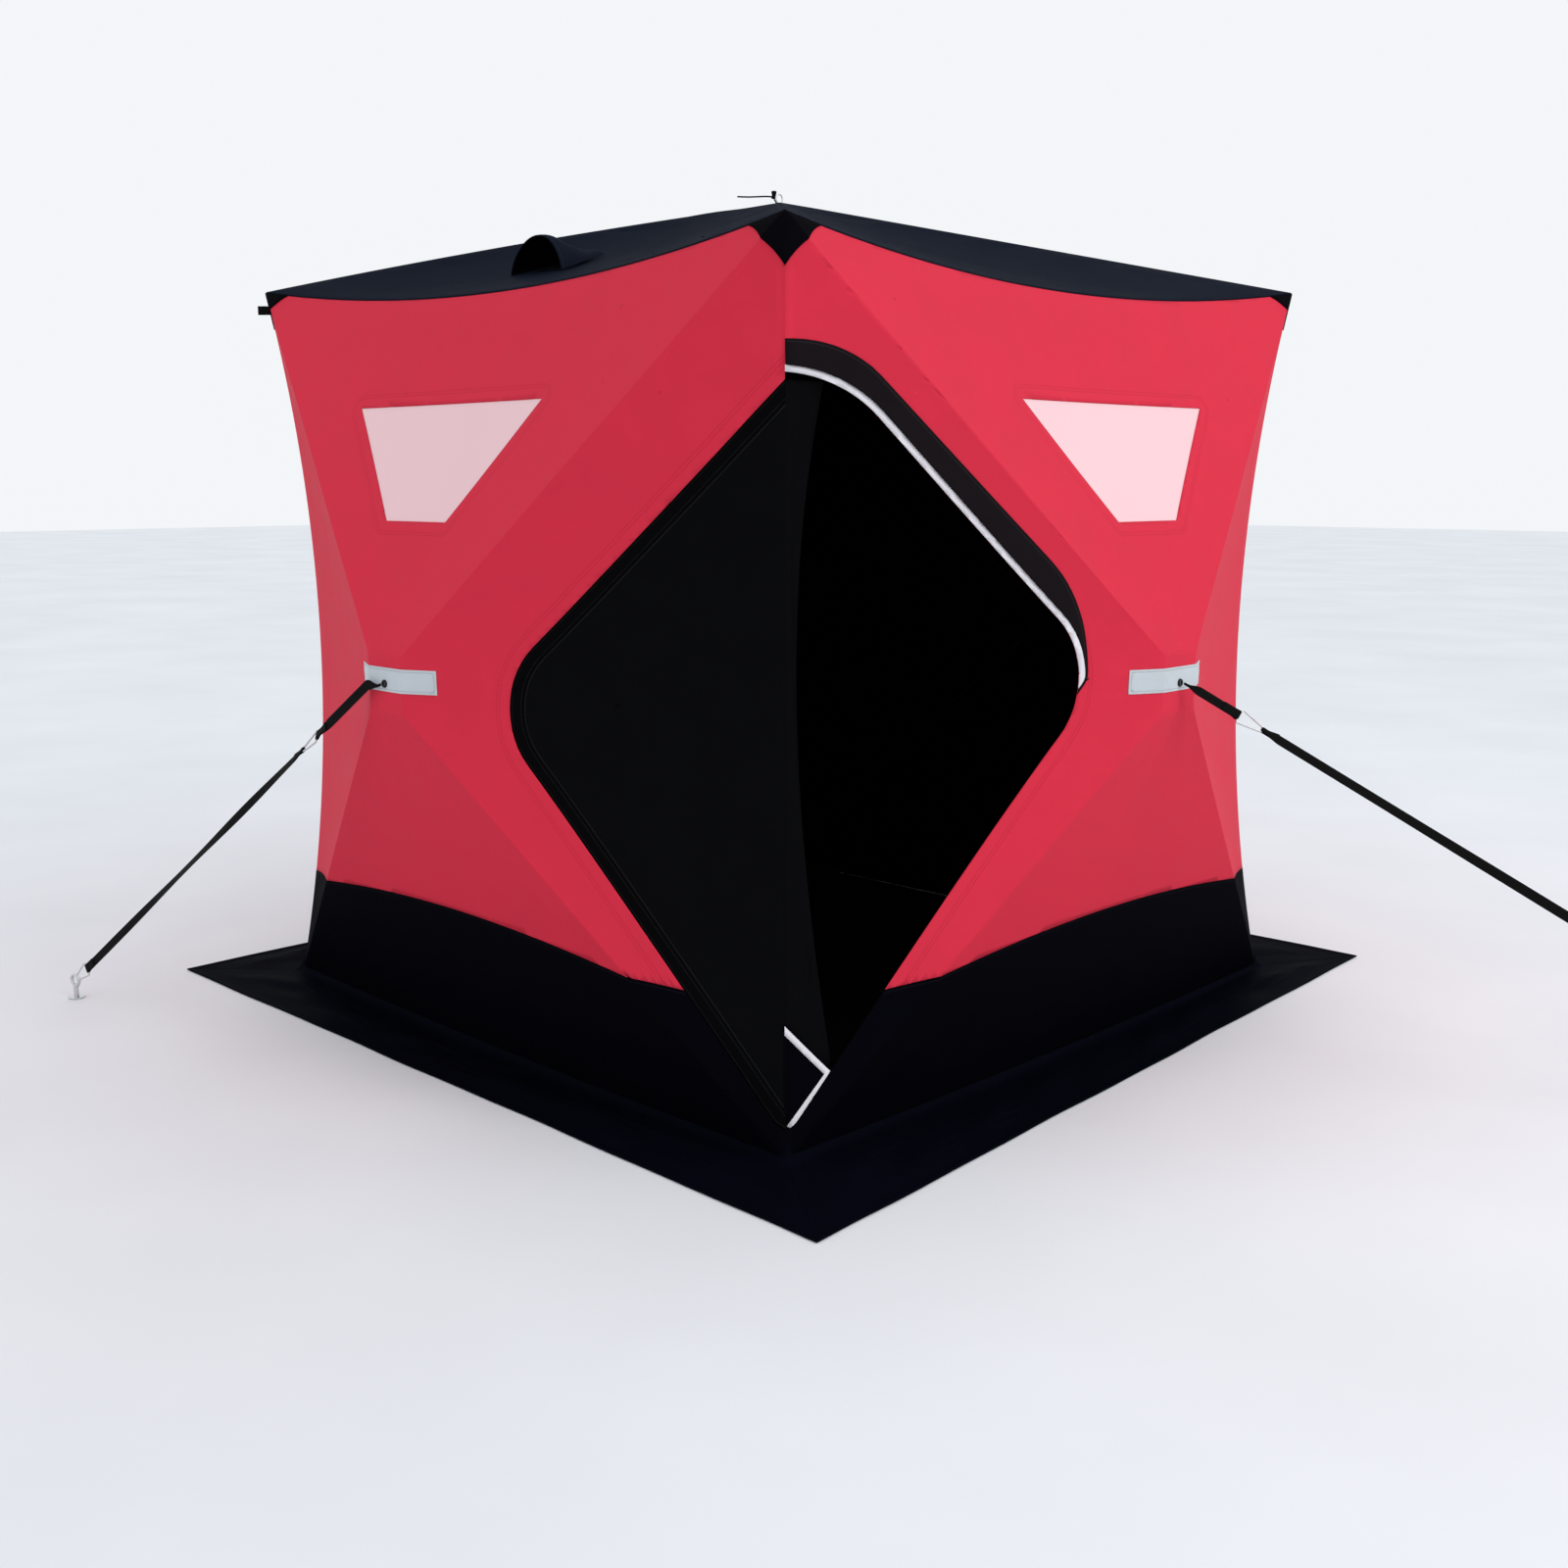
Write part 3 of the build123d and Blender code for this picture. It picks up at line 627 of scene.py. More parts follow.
# %% Helpers for node groups
def group_with(name, inputs, outputs):
    """A shader node group with named sockets, given as (name, type, default)."""
    group = bpy.data.node_groups.new(name, "ShaderNodeTree")
    for label, kind, default in inputs:
        socket = group.interface.new_socket(name=label, in_out="INPUT", socket_type=kind)
        socket.default_value = default
    for label, kind in outputs:
        group.interface.new_socket(name=label, in_out="OUTPUT", socket_type=kind)
    return group, group.nodes.new("NodeGroupInput"), group.nodes.new("NodeGroupOutput")


def maths(tree, operation, first, second=None):
    """A Math node whose inputs are sockets or numbers."""
    node = tree.nodes.new("ShaderNodeMath")
    node.operation = operation
    for place, value in enumerate((first, second)):
        if isinstance(value, (int, float)):
            node.inputs[place].default_value = value
        elif value is not None:
            tree.links.new(value, node.inputs[place])
    return node.outputs[0]


def noise(tree, vector, scale, detail=3.0, roughness=0.5):
    """A noise texture over a vector, as a value near 0.5."""
    node = tree.nodes.new("ShaderNodeTexNoise")
    node.inputs["Scale"].default_value = scale
    node.inputs["Detail"].default_value = detail
    node.inputs["Roughness"].default_value = roughness
    tree.links.new(vector, node.inputs["Vector"])
    return node.outputs["Fac"]


def spread(tree, value, low, high, to_low, to_high):
    """Maps a value from one range to another, held at the ends."""
    node = tree.nodes.new("ShaderNodeMapRange")
    for label, number in (("From Min", low), ("From Max", high), ("To Min", to_low), ("To Max", to_high)):
        node.inputs[label].default_value = number
    tree.links.new(value, node.inputs["Value"])
    return node.outputs["Result"]


# %% Weave group
def weave_group():
    """Plain weave: crossed threads whose height is the larger of two sines, each one strong
    where the other thread dips under it."""
    group, given, gives = group_with(
        "plain_weave",
        [("Vector", "NodeSocketVector", (0, 0, 0)), ("Threads per metre", "NodeSocketFloat", 1400.0)],
        [("Height", "NodeSocketFloat"), ("Shade", "NodeSocketFloat")])
    apart = group.nodes.new("ShaderNodeSeparateXYZ")
    group.links.new(given.outputs["Vector"], apart.inputs[0])
    rate = maths(group, "MULTIPLY", given.outputs["Threads per metre"], math.pi)
    across = maths(group, "SINE", maths(group, "MULTIPLY", apart.outputs[0], rate))
    up = maths(group, "SINE", maths(group, "MULTIPLY", apart.outputs[1], rate))
    over = maths(group, "ABSOLUTE", maths(group, "MULTIPLY", across, up))
    cloudy = noise(group, given.outputs["Vector"], 9.0, 4.0, 0.6)
    group.links.new(over, gives.inputs["Height"])
    group.links.new(cloudy, gives.inputs["Shade"])
    return group


WEAVE = weave_group()
print("weave group:", len(WEAVE.nodes), "nodes")

# %% Stitch group
def stitch_group():
    """A row of stitches beside a sewn edge: a mask where the distance from the edge is near the
    row's own distance and the place along the edge falls on a thread, not on the gap."""
    group, given, gives = group_with(
        "stitch_row",
        [("Edge", "NodeSocketFloat", 0.0), ("Run", "NodeSocketFloat", 0.0),
         ("Distance", "NodeSocketFloat", 0.006), ("Pitch", "NodeSocketFloat", 0.005),
         ("Thread", "NodeSocketFloat", 0.0009)],
        [("Mask", "NodeSocketFloat"), ("Pull", "NodeSocketFloat")])
    off = maths(group, "SUBTRACT", given.outputs["Edge"], given.outputs["Distance"])
    off = maths(group, "ABSOLUTE", off)
    in_row = maths(group, "LESS_THAN", off, given.outputs["Thread"])
    beat = maths(group, "FRACT", maths(group, "DIVIDE", given.outputs["Run"], given.outputs["Pitch"]))
    on = maths(group, "LESS_THAN", beat, 0.68)
    group.links.new(maths(group, "MULTIPLY", in_row, on), gives.inputs["Mask"])
    wide = maths(group, "MULTIPLY", given.outputs["Thread"], 5.0)
    pull = maths(group, "SUBTRACT", 1.0, maths(group, "DIVIDE", off, wide))
    group.links.new(maths(group, "MAXIMUM", pull, 0.0), gives.inputs["Pull"])
    return group


STITCHES = stitch_group()
print("node groups:", [group.name for group in bpy.data.node_groups])

# %% Cloth material
def placed_group(tree, group, **values):
    """A group node in a material, with some of its inputs set."""
    node = tree.nodes.new("ShaderNodeGroup")
    node.node_tree = group
    for label, value in values.items():
        socket = node.inputs[label.replace("_", " ")]
        if isinstance(value, (int, float)):
            socket.default_value = value
        else:
            tree.links.new(value, socket)
    return node


def new_material(name):
    """A material with an empty Principled shader, and its tree."""
    material = bpy.data.materials.new(name)
    material.use_nodes = True
    tree = material.node_tree
    return material, tree, tree.nodes["Principled BSDF"]


def mixed(tree, factor, first, second):
    """A colour between two, by a factor."""
    node = tree.nodes.new("ShaderNodeMix")
    node.data_type = "RGBA"
    tree.links.new(factor, node.inputs["Factor"])
    for socket, value in ((node.inputs["A"], first), (node.inputs["B"], second)):
        if isinstance(value, tuple):
            socket.default_value = (*value, 1)
        else:
            tree.links.new(value, socket)
    return node.outputs["Result"]


def bumped(tree, shader, height, strength, distance):
    """Feeds a height through a Bump node into the shader's normal."""
    node = tree.nodes.new("ShaderNodeBump")
    node.inputs["Strength"].default_value = strength
    node.inputs["Distance"].default_value = distance
    tree.links.new(height, node.inputs["Height"])
    tree.links.new(node.outputs["Normal"], shader.inputs["Normal"])


def cloth_material(name, colour, threads=1500.0, roughness=0.62, specular=0.12, stitch_at=(),
                   thread_colour=(0.5, 0.5, 0.5), variation=0.06):
    """Woven cloth: cloudy colour, weave bump, and a row of stitches at each distance from the
    sewn edge. The threads' gaps are darker, a painted shade, and a stitch stands in the dip that it pulls."""
    material, tree, shader = new_material(name)
    uv = tree.nodes.new("ShaderNodeUVMap")
    uv.uv_map = "cloth"
    weave = placed_group(tree, WEAVE, Vector=uv.outputs[0], Threads_per_metre=threads)
    dark = tuple(c * (1 - 2 * variation) for c in colour)
    light = tuple(min(1.0, c * (1 + variation)) for c in colour)
    # Painted shade between the threads: the colour is mixed towards gap, 0.6 of itself, by 0.12 of the
    # weave's height.
    gap = tuple(c * 0.6 for c in colour)
    tone = mixed(tree, spread(tree, weave.outputs["Shade"], 0.3, 0.7, 0.0, 1.0), dark, light)
    tone = mixed(tree, maths(tree, "MULTIPLY", weave.outputs["Height"], 0.12), tone, gap)
    height = maths(tree, "MULTIPLY", weave.outputs["Height"], 0.35)
    if stitch_at:
        edge, run = (tree.nodes.new("ShaderNodeAttribute") for _ in range(2))
        edge.attribute_name, run.attribute_name = "edge", "run"
    for distance in stitch_at:
        row = placed_group(tree, STITCHES, Edge=edge.outputs["Fac"], Run=run.outputs["Fac"],
                           Distance=distance)
        tone = mixed(tree, row.outputs["Mask"], tone, thread_colour)
        height = maths(tree, "SUBTRACT", height, maths(tree, "MULTIPLY", row.outputs["Pull"], 1.6))
        height = maths(tree, "ADD", height, maths(tree, "MULTIPLY", row.outputs["Mask"], 1.4))
    tree.links.new(tone, shader.inputs["Base Color"])
    rough = spread(tree, weave.outputs["Shade"], 0.3, 0.7, roughness - 0.05, roughness + 0.06)
    tree.links.new(rough, shader.inputs["Roughness"])
    shader.inputs["Specular IOR Level"].default_value = specular
    bumped(tree, shader, height, 0.5, 0.0006)
    return material


RED = cloth_material("red_wall_cloth", (0.665, 0.0285, 0.059), specular=0.06, stitch_at=[0.022, 0.028],
                     thread_colour=(0.56, 0.020, 0.045), variation=0.02)
LINING = cloth_material("dark_lining", (0.0018, 0.0018, 0.0020), 1100.0, 0.8, 0.01)
BAND = cloth_material("band_cloth", (0.0017, 0.0017, 0.0036), 1300.0, 0.7, 0.008, [0.006],
                      (0.007, 0.007, 0.009))
ROOF = cloth_material("roof_cloth", (0.0080, 0.0110, 0.0200), 1500.0, 0.62, 0.004, [0.008],
                      (0.020, 0.024, 0.038))
PATCH = cloth_material("patch_cloth", (0.0026, 0.0022, 0.0034), 1300.0, 0.7, 0.01)
SKIRT = cloth_material("skirt_cloth", (0.0022, 0.0026, 0.0058), 1200.0, 0.55, 0.004)
DOOR = cloth_material("door_cloth", (0.0034, 0.0034, 0.0040), 1300.0, 0.72, 0.010, [0.0295],
                      (0.016, 0.016, 0.018))
# Painted shade: the binding tape's colour is darker than the door's cloth, for the shadow in the gap behind
# the wall's edge.
BINDING_AND_SHADE = cloth_material("binding_tape_and_shade", (0.0022, 0.0022, 0.0026), 900.0, 0.7, 0.010, [0.004, 0.022],
                         (0.009, 0.009, 0.009))
FLAP = cloth_material("zip_cover_cloth", (0.0100, 0.0075, 0.0088), 1300.0, 0.68, 0.015, [0.005],
                      (0.022, 0.019, 0.021))
TAPE = cloth_material("pale_tape", (0.80, 0.765, 0.80), 2200.0, 0.6, 0.12, variation=0.03)
STRIP = cloth_material("reflective_strip", (0.555, 0.60, 0.63), 2600.0, 0.42, 0.2, [0.005],
                       (0.34, 0.35, 0.36), 0.03)
print("cloth materials:", len(bpy.data.materials))

# %% [markdown]
# Each wall gives its upper cloth, its dark band, and the film behind its window. They could be
# one mesh with several materials, but the real ones are sewn from separate cloths, so each is a
# piece of its own, cut from the same folded surface, which keeps their edges together.

# %% Walls and bands
def cut_from(side, choose, offset=0.0):
    """The triangles of a wall that a chooser accepts, moved out along the normals and turned to
    their side. Returns the points, the triangles and the flat table of places."""
    table, placed, normals, triangles = SURFACES[side]
    used, faces = kept(table, triangles, choose)
    lift = offset(table[used])[:, None] if callable(offset) else offset
    return turned(placed[used] + normals[used] * lift, side), faces, table[used]


def in_door(side, grow=0.0):
    """A chooser for what lies inside the door's outline, grown, on one wall."""
    sign = DOOR_SIGN[side]
    if not sign:
        return lambda points: np.zeros(len(points), bool)
    field = outline_field(closed_door(sign), grow)
    return lambda points: field(points) < 0


def sewn_edges(side, table):
    """The distance to the nearest sewn opening, and the place along its edge."""
    distance, run = nearest(np.array(window_corners(DOOR_SIGN[side])), table)
    if DOOR_SIGN[side]:
        door_distance, door_run = nearest(closed_door(DOOR_SIGN[side]), table)
        run = np.where(door_distance < distance, door_run, run)
        distance = np.minimum(distance, door_distance)
    return distance, run


def inside_edge(outline):
    """A rule for the stitches: the depth inside an outline, and the place along it."""
    def rule(table):
        distance, run = nearest(outline, table)
        return -distance, run
    return rule


def cut_piece(name, side, choose, offset, finishes, node, kind, rule=None, thinned=False):
    """A piece cut from a wall's surface, with the thickness of its kind. The rule gives each
    point's distance from the sewn edge and its place along it. Returns the piece, its flat points
    and its faces."""
    points, faces, table = cut_from(side, choose, offset)
    edge, run = rule(table) if rule else (None, None)
    piece = new_piece(name, points, faces, finishes, [node], table[:, [0, 2]], edge, run)
    give_thickness(piece, kind, share_at_corner(table) if thinned else None)
    return piece, table[:, :3], faces


BAND_LIFT = 0.0004
for side in SIDES:
    window, door = within(window_corners(DOOR_SIGN[side])), in_door(side)
    wall, flat, faces = cut_piece(
        f"{side}_wall_cloth", side, lambda p: (over_band(p) > 0) & ~window(p) & ~door(p), 0.0,
        [RED, LINING], f"{side}_wall", "wall", lambda table: sewn_edges(side, table), True)
    area = declare_sheet(flat, faces)
    band, flat, faces = cut_piece(
        f"{side}_band_cloth", side, lambda p: (over_band(p) <= 0) & ~door(p), BAND_LIFT,
        [BAND, LINING], f"{side}_lower_band", "band",
        lambda table: (-over_band(table), table[:, 0]), True)
    declare_sheet(flat, faces)
    print(side, "wall cloth", round(area, 3), "square metres,", len(band.data.polygons), "band faces")

# %% [markdown]
# The windows are frosted film, which lets light in and hides the inside. Clear glass would show
# the dark room, and the photograph shows an even pale pink, so the film scatters light: a rough
# clear coat over a pale base, with soft waves where it hangs between its stitched edges.

# %% Window film
def film_material():
    """Pale frosted film: an almost white base, cloudy and a little wavy, under a soft gloss."""
    material, tree, shader = new_material("frosted_film")
    place = tree.nodes.new("ShaderNodeTexCoord").outputs["Object"]
    cloudy = spread(tree, noise(tree, place, 3.0), 0.35, 0.65, 0.0, 1.0)
    tone = mixed(tree, cloudy, (0.815, 0.535, 0.555), (0.825, 0.542, 0.562))
    tree.links.new(tone, shader.inputs["Base Color"])
    rough = spread(tree, noise(tree, place, 30.0), 0.3, 0.7, 0.30, 0.42)
    tree.links.new(rough, shader.inputs["Roughness"])
    shader.inputs["Specular IOR Level"].default_value = 0.2
    grain = maths(tree, "MULTIPLY", noise(tree, place, 600.0), 0.01)
    bumped(tree, shader, maths(tree, "ADD", noise(tree, place, 7.0, 1.0), grain), 0.15, 0.006)
    return material


FILM = film_material()
FILM_DEPTH = 0.0016
for side in SIDES:
    flange = within(window_corners(DOOR_SIGN[side], WINDOW_FLANGE))
    pane, flat, faces = cut_piece(f"{side}_window_film", side, flange, -FILM_DEPTH, [FILM],
                                  f"{side}_window", "film")
    declare_sheet(flat, faces)
print("window films:", len(SIDES))

# %% [markdown]
# The door is a diamond of dark cloth round the corner. Its front half stays behind the front
# wall's cloth, bound with tape along the edge, and its cloth runs a little past the corner and
# folds back inside. The tape is near black, darker than the door: painted shade of the gap behind
# the wall's edge. The strip past the corner is a ruled grid from the corner edge to the fold,
# with a rolled end. It could be draped by simulation, but the photograph shows where it lies.

# %% The door's cloth past the corner
FOLD_TOP = (0.068, -1.179, 1.462)
FOLD_MIDDLE = (0.022, -1.140, 0.870)
FOLD_END = (0.088, -1.195, 0.165)
FOLD_RADIUS = 0.006
CREASE_HEIGHT = 0.36
PANEL_DEPTH = 0.0042
BINDING_DEPTH = 0.0022


def from_diagonal(points):
    """Places given across and along the door corner's diagonal, as places in the frame."""
    across, along, height = points[:, 0], points[:, 1], points[:, 2]
    return np.stack([(across - along) / math.sqrt(2), (across + along) / math.sqrt(2), height], axis=1)


def door_return():
    """The cloth from the corner edge to the fold and back: u runs from 0 at the corner to 1 at
    the fold, then half a turn of FOLD_RADIUS, then back inside. Folds run down its length, and a
    short crease crosses it at CREASE_HEIGHT."""
    rows, columns = 90, 26
    fold = arc(FOLD_END, FOLD_MIDDLE, FOLD_TOP, rows)
    height = fold[:, 2]
    hinge = np.stack([np.zeros(rows), -corner_distance(height) + PANEL_DEPTH * math.sqrt(2), height], axis=1)
    toward = fold - hinge
    width = np.linalg.norm(toward[:, :2], axis=1, keepdims=True)
    toward = toward / width
    inward = np.stack([-toward[:, 1], toward[:, 0], np.zeros(rows)], axis=1)
    inward *= np.sign(inward[:, 1:2])
    u = np.linspace(0, 1, columns)
    flat = hinge[:, None] + toward[:, None] * (u[None, :, None] * width[:, None])
    ripple = 0.0022 * np.sin(9.0 * height[:, None] + 4.5 * u[None]) * np.sin(math.pi * u[None])
    crease = np.exp(-((height[:, None] - CREASE_HEIGHT) / 0.05) ** 2)
    ripple += 0.0030 * crease * np.sin(26 * u[None]) * u[None]
    flat = flat + inward[:, None] * ripple[..., None]
    turn = np.linspace(0, math.pi, 9)[1:]
    roll = fold[:, None] + FOLD_RADIUS * (toward[:, None] * np.sin(turn)[None, :, None]
                                          + inward[:, None] * (1 - np.cos(turn))[None, :, None])
    back = np.linspace(0, 1, 8)[1:]
    inside = roll[:, -1:] - toward[:, None] * (0.55 * width[:, None] * back[None, :, None])
    inside = inside + inward[:, None] * (0.020 * back ** 2)[None, :, None]
    points = np.concatenate([flat, roll, inside], axis=1)
    count = points.shape[1]
    spot = np.stack(np.meshgrid(np.linspace(0, 0.2, count), height), axis=-1).reshape(-1, 2)
    return from_diagonal(points.reshape(-1, 3)), grid_triangles(rows, count), spot


print("the fold's ends:", from_diagonal(np.array([FOLD_TOP, FOLD_END])).round(3).tolist())

# %% Door panel
panel, flat, faces = cut_piece("door_front_half", "front", in_door("front", DOOR_LAP), -PANEL_DEPTH,
                               [DOOR, LINING], "door_panel", "door",
                               inside_edge(closed_door(1)))
declare_sheet(flat, faces)

points, faces, spot = door_return()
faces = facing(points, faces, (1, -1, 0))
far = np.full(len(points), 1.0)
folded = new_piece("door_fold", points, faces, [DOOR, LINING], ["door_panel"], spot, far, far)
give_thickness(folded, "door")
declare_sheet(points, faces)

# The binding is a tape 26 mm wide inside the door's outline, and its near-black colour is also painted shade
# of the gap behind the front wall's edge.
in_outline, in_panel = in_door("front"), in_door("front", -DOOR_BINDING)
cut_piece("door_binding", "front", lambda p: in_outline(p) & ~in_panel(p), -BINDING_DEPTH,
          [BINDING_AND_SHADE], "door_panel", "binding", inside_edge(closed_door(1)))
print("door panel:", len(panel.data.polygons), "faces, fold:", len(folded.data.polygons))

# %% [markdown]
# On the right wall the open doorway is edged by the zip's pale tape. A cover of dark cloth is
# sewn above it and hangs over the zip, and its free edge stands off a little. The last part of
# the zip is still closed, so a small triangle of the door stays at the bottom.

# %% Zip cover, tapes and the closed tip
COVER_LIFT = 0.0016
COVER_RISE = 0.0045
UPPER_TAPE_LIFT = 0.0022
LOWER_TAPE_DEPTH = 0.0012


def standing_off(field, rest, rise, reach):
    """An offset that grows from rest to rest plus rise over a distance from a sewn edge."""
    return lambda table: rest + rise * smooth(np.abs(field(table)) / reach)


flap_field = outline_field(closed_flap(-1))
taped_field = outline_field(closed_door(-1), TAPE_WIDTH)
door_field = outline_field(closed_door(-1))
under_flap = outline_field(closed_flap(-1), -TAPE_MARGIN)


def on_tape(points):
    """A chooser for what the tape covers: beside the door's edge, and inside the cover's rim."""
    return (taped_field(points) < 0) & (under_flap(points) < 0) & (door_field(points) > 0)


cover, flat, faces = cut_piece(
    "door_zip_cover_cloth", "right", lambda p: (flap_field(p) < 0) & (door_field(p) > 0) & ~on_tape(p),
    standing_off(flap_field, COVER_LIFT, COVER_RISE, 0.05), [FLAP], "door_zip_cover",
    "zip cover", inside_edge(closed_flap(-1)))
declare_sheet(flat, faces)
cut_piece("door_upper_zip_tape", "right", on_tape, UPPER_TAPE_LIFT, [TAPE],
          "door_upper_tape", "upper tape")

in_tip, in_lap = beside(*TIP_LINE), in_door("right", DOOR_LAP)
tip = cut_piece("door_closed_tip", "right", lambda p: in_lap(p) & (in_tip(p) > 0), -PANEL_DEPTH,
                [BAND, LINING], "door_panel", "door",
                lambda table: (np.full(len(table), 1.0), table[:, 0]))[0]
lower_field = outline_field(lower_tape_corners)
cut_piece("door_lower_zip_tape", "right", lambda p: lower_field(p) < 0, -LOWER_TAPE_DEPTH, [TAPE],
          "door_lower_tape", "lower tape")
print("zip cover:", len(cover.data.polygons), "faces, closed tip:", len(tip.data.polygons))

# %% [markdown]
# Small sewn pieces follow the same surface: the pale strip that takes each hub's eyelet, and the
# kites of roof cloth that fold down over the top corners. A kite crosses a corner, so its two
# halves are cut from two walls and welded along the corner edge before it gets its thickness.

# %% Hub strips and corner patches
STRIP_LIFT = 0.0014
PATCH_LIFT = 0.0024


def cut_welded(choices, offset=0.0):
    """Parts of several walls, welded where they meet. Columns 3 and 4 hold each point's flat
    place. The choices are pairs of a side and a chooser."""
    parts = []
    for side, choose in choices:
        points, faces, table = cut_from(side, choose, offset)
        parts.append((np.concatenate([points, table[:, [0, 2]]], axis=1), faces))
    return welded(parts)


strips, strip_faces = cut_welded([(side, within(STRIP_CORNERS)) for side in SIDES], STRIP_LIFT)
edge, run = nearest(np.array(STRIP_CORNERS), strips[:, [3, 3, 4]])
strip = new_piece("hub_strip_cloths", strips[:, :3], strip_faces, [STRIP],
                  ["hub_strips"], strips[:, 3:5], -edge, run)
give_thickness(strip, "strip")

patches, patch_faces = cut_welded([(side, all_positive(patch_fields(sign)))
                                   for side in SIDES for sign in (1, -1)])
lifted_patches = patches[:, :3] + normals_of(patches[:, :3], patch_faces) * PATCH_LIFT
patch = new_piece("corner_patch_cloths", lifted_patches, patch_faces, [PATCH],
                  ["corner_patches"], patches[:, 3:5], np.full(len(patches), 1.0), patches[:, 3])
give_thickness(patch, "patch")
declare_sheet(patches[:, :3], patch_faces)
print("strips:", len(strip_faces), "patches:", len(patch_faces))

# %% [markdown]
# The roof is four gores that meet on the poles. Each one is a ruled grid from its sagging eaves
# seam to the small square on top, and then a triangle to the middle. It sinks a little between
# the poles, and small waves run along its seams, so that its outline isn't quite even.

# %% Roof panels
VENT = np.array([-0.150, -0.560])
VENT_HOLE = np.array([0.110, 0.070])
ROOF_SWELL = 0.012
RIDGE_BOWS = (0.009, 0.003, 0.0, 0.004)
GORE_LENGTH = 0.85
GORE_HALF = 0.64


def roof_grid():
    """The front gore and its share of the square on top, facing up."""
    left = (-PLATEAU_HALF, -PLATEAU_HALF, ROOF_PEAK)
    right = (PLATEAU_HALF, -PLATEAU_HALF, ROOF_PEAK)
    top_edge = line(left, right, COLUMNS)
    gore = ruled(eaves_seam(COLUMNS), top_edge, ROWS)
    tip = ruled(top_edge, np.tile([0.0, 0.0, ROOF_PEAK], (COLUMNS, 1)), 5)
    tip[0][:, 3:] = (0, 1)
    points, triangles = welded([gore, tip])
    return points, facing(points, triangles, (0, 0, 1))


def roof_folds(table, side):
    """How far the roof cloth sinks: the hammock between the poles, ripples beside the seams that
    fade with the distance from them, and a few long waves, less the bow of the sprung poles."""
    number = SIDES.index(side)
    rng = np.random.default_rng(60 + number)
    x, y, s, t = table[:, 0], table[:, 1], table[:, 3], table[:, 4]
    depth = ROOF_SWELL * (1 - s ** 2) * 4 * t * (1 - t)
    beside_pole = (1 - np.abs(s)) * (1 - t) * BASE_HALF
    ripple = np.sin(34 * t + rng.uniform(0, 6)) + 0.6 * np.sin(61 * t + rng.uniform(0, 6))
    depth += 0.0028 * ripple * np.exp(-(beside_pole / 0.09) ** 2) * (1 - np.exp(-(beside_pole / 0.02) ** 2))
    for _ in range(5):
        across, up = rng.uniform(-9, 9, 2)
        depth += 0.0016 * np.sin(across * x + up * y + rng.uniform(0, 6))
    depth *= smooth((1 - np.abs(s)) / 0.15) * smooth(t / 0.1) * smooth((1 - t) / 0.1)
    bow = np.where(s < 0, RIDGE_BOWS[number], RIDGE_BOWS[(number + 1) % 4])
    return depth - bow * 4 * t * (1 - t) * np.abs(s) ** 3


def in_vent(points, grow=0.0):
    """Which points lie inside the vent's hole, seen from above and grown."""
    return np.all(np.abs(points[:, :2] - VENT) < VENT_HOLE / 2 + grow, axis=1)


def vent_levels():
    """The lines of the hole and of the netting's rim, as fields over the plan."""
    for axis in (0, 1):
        for direction in (-1, 1):
            for grow in (0.0, WINDOW_FLANGE):
                limit = VENT[axis] + direction * (VENT_HOLE[axis] / 2 + grow)
                yield lambda points: direction * (limit - points[:, axis])


def roof_surface(side):
    """One gore with its folds, facing front: the flat table, the placed points and the triangles.
    The front one is split along the vent's lines."""
    table, triangles = roof_grid()
    if side == "front":
        for field in vent_levels():
            table, triangles = split(table, triangles, field)
    placed = table[:, :3].copy()
    placed[:, 2] += CLOTH - roof_folds(table, side)
    return table, placed, triangles


for side in SIDES:
    gore_table, placed, triangles = roof_surface(side)
    used, faces = kept(gore_table, triangles, lambda p: ~in_vent(p) | (side != "front"))
    table = gore_table[used]
    to_eaves = table[:, 4] * GORE_LENGTH
    to_pole = (1 - np.abs(table[:, 3])) * (1 - table[:, 4]) * GORE_HALF
    gore = new_piece(f"{side}_roof_cloth", turned(placed[used], side), faces, [ROOF, LINING],
                     [f"{side}_roof_panel"], table[:, [0, 1]], np.minimum(to_eaves, to_pole), table[:, 0])
    give_thickness(gore, "roof")
    declare_sheet(table[:, :3], faces)
    print(side, "roof panel:", len(faces), "triangles")

# %% [markdown]
# A hood of roof cloth covers the vent, with its mouth down the slope. It is an arch that gets
# narrower and lower up the slope: each row of the grid is a circle's arc, and the rows blend from
# the mouth's width and height to the tail's. Its rim is bound, and a mesh closes the hole below.

# %% Vent hood
HOOD_MOUTH = (0.095, 0.075)
HOOD_TAIL = (0.052, 0.012)
HOOD_DEPTH = 0.165
HOOD_ARCH = 0.24
HOOD_LEAN = 0.030
HOOD_SUNK = 0.004


def slope_frame():
    """The roof's slope at the vent: the mouth's middle, the way up the slope, and the normal."""
    run = BASE_HALF - SEAM_INSET - PLATEAU_HALF
    rise = ROOF_PEAK - WALL_HEIGHT + SEAM_SAG
    up = np.array([0, run, rise]) / math.hypot(run, rise)
    normal = np.array([0, -rise, run]) / math.hypot(run, rise)
    middle = np.array([*VENT, ROOF_PEAK - (-VENT[1] - PLATEAU_HALF) * rise / run])
    return middle - up * HOOD_DEPTH / 2, up, normal


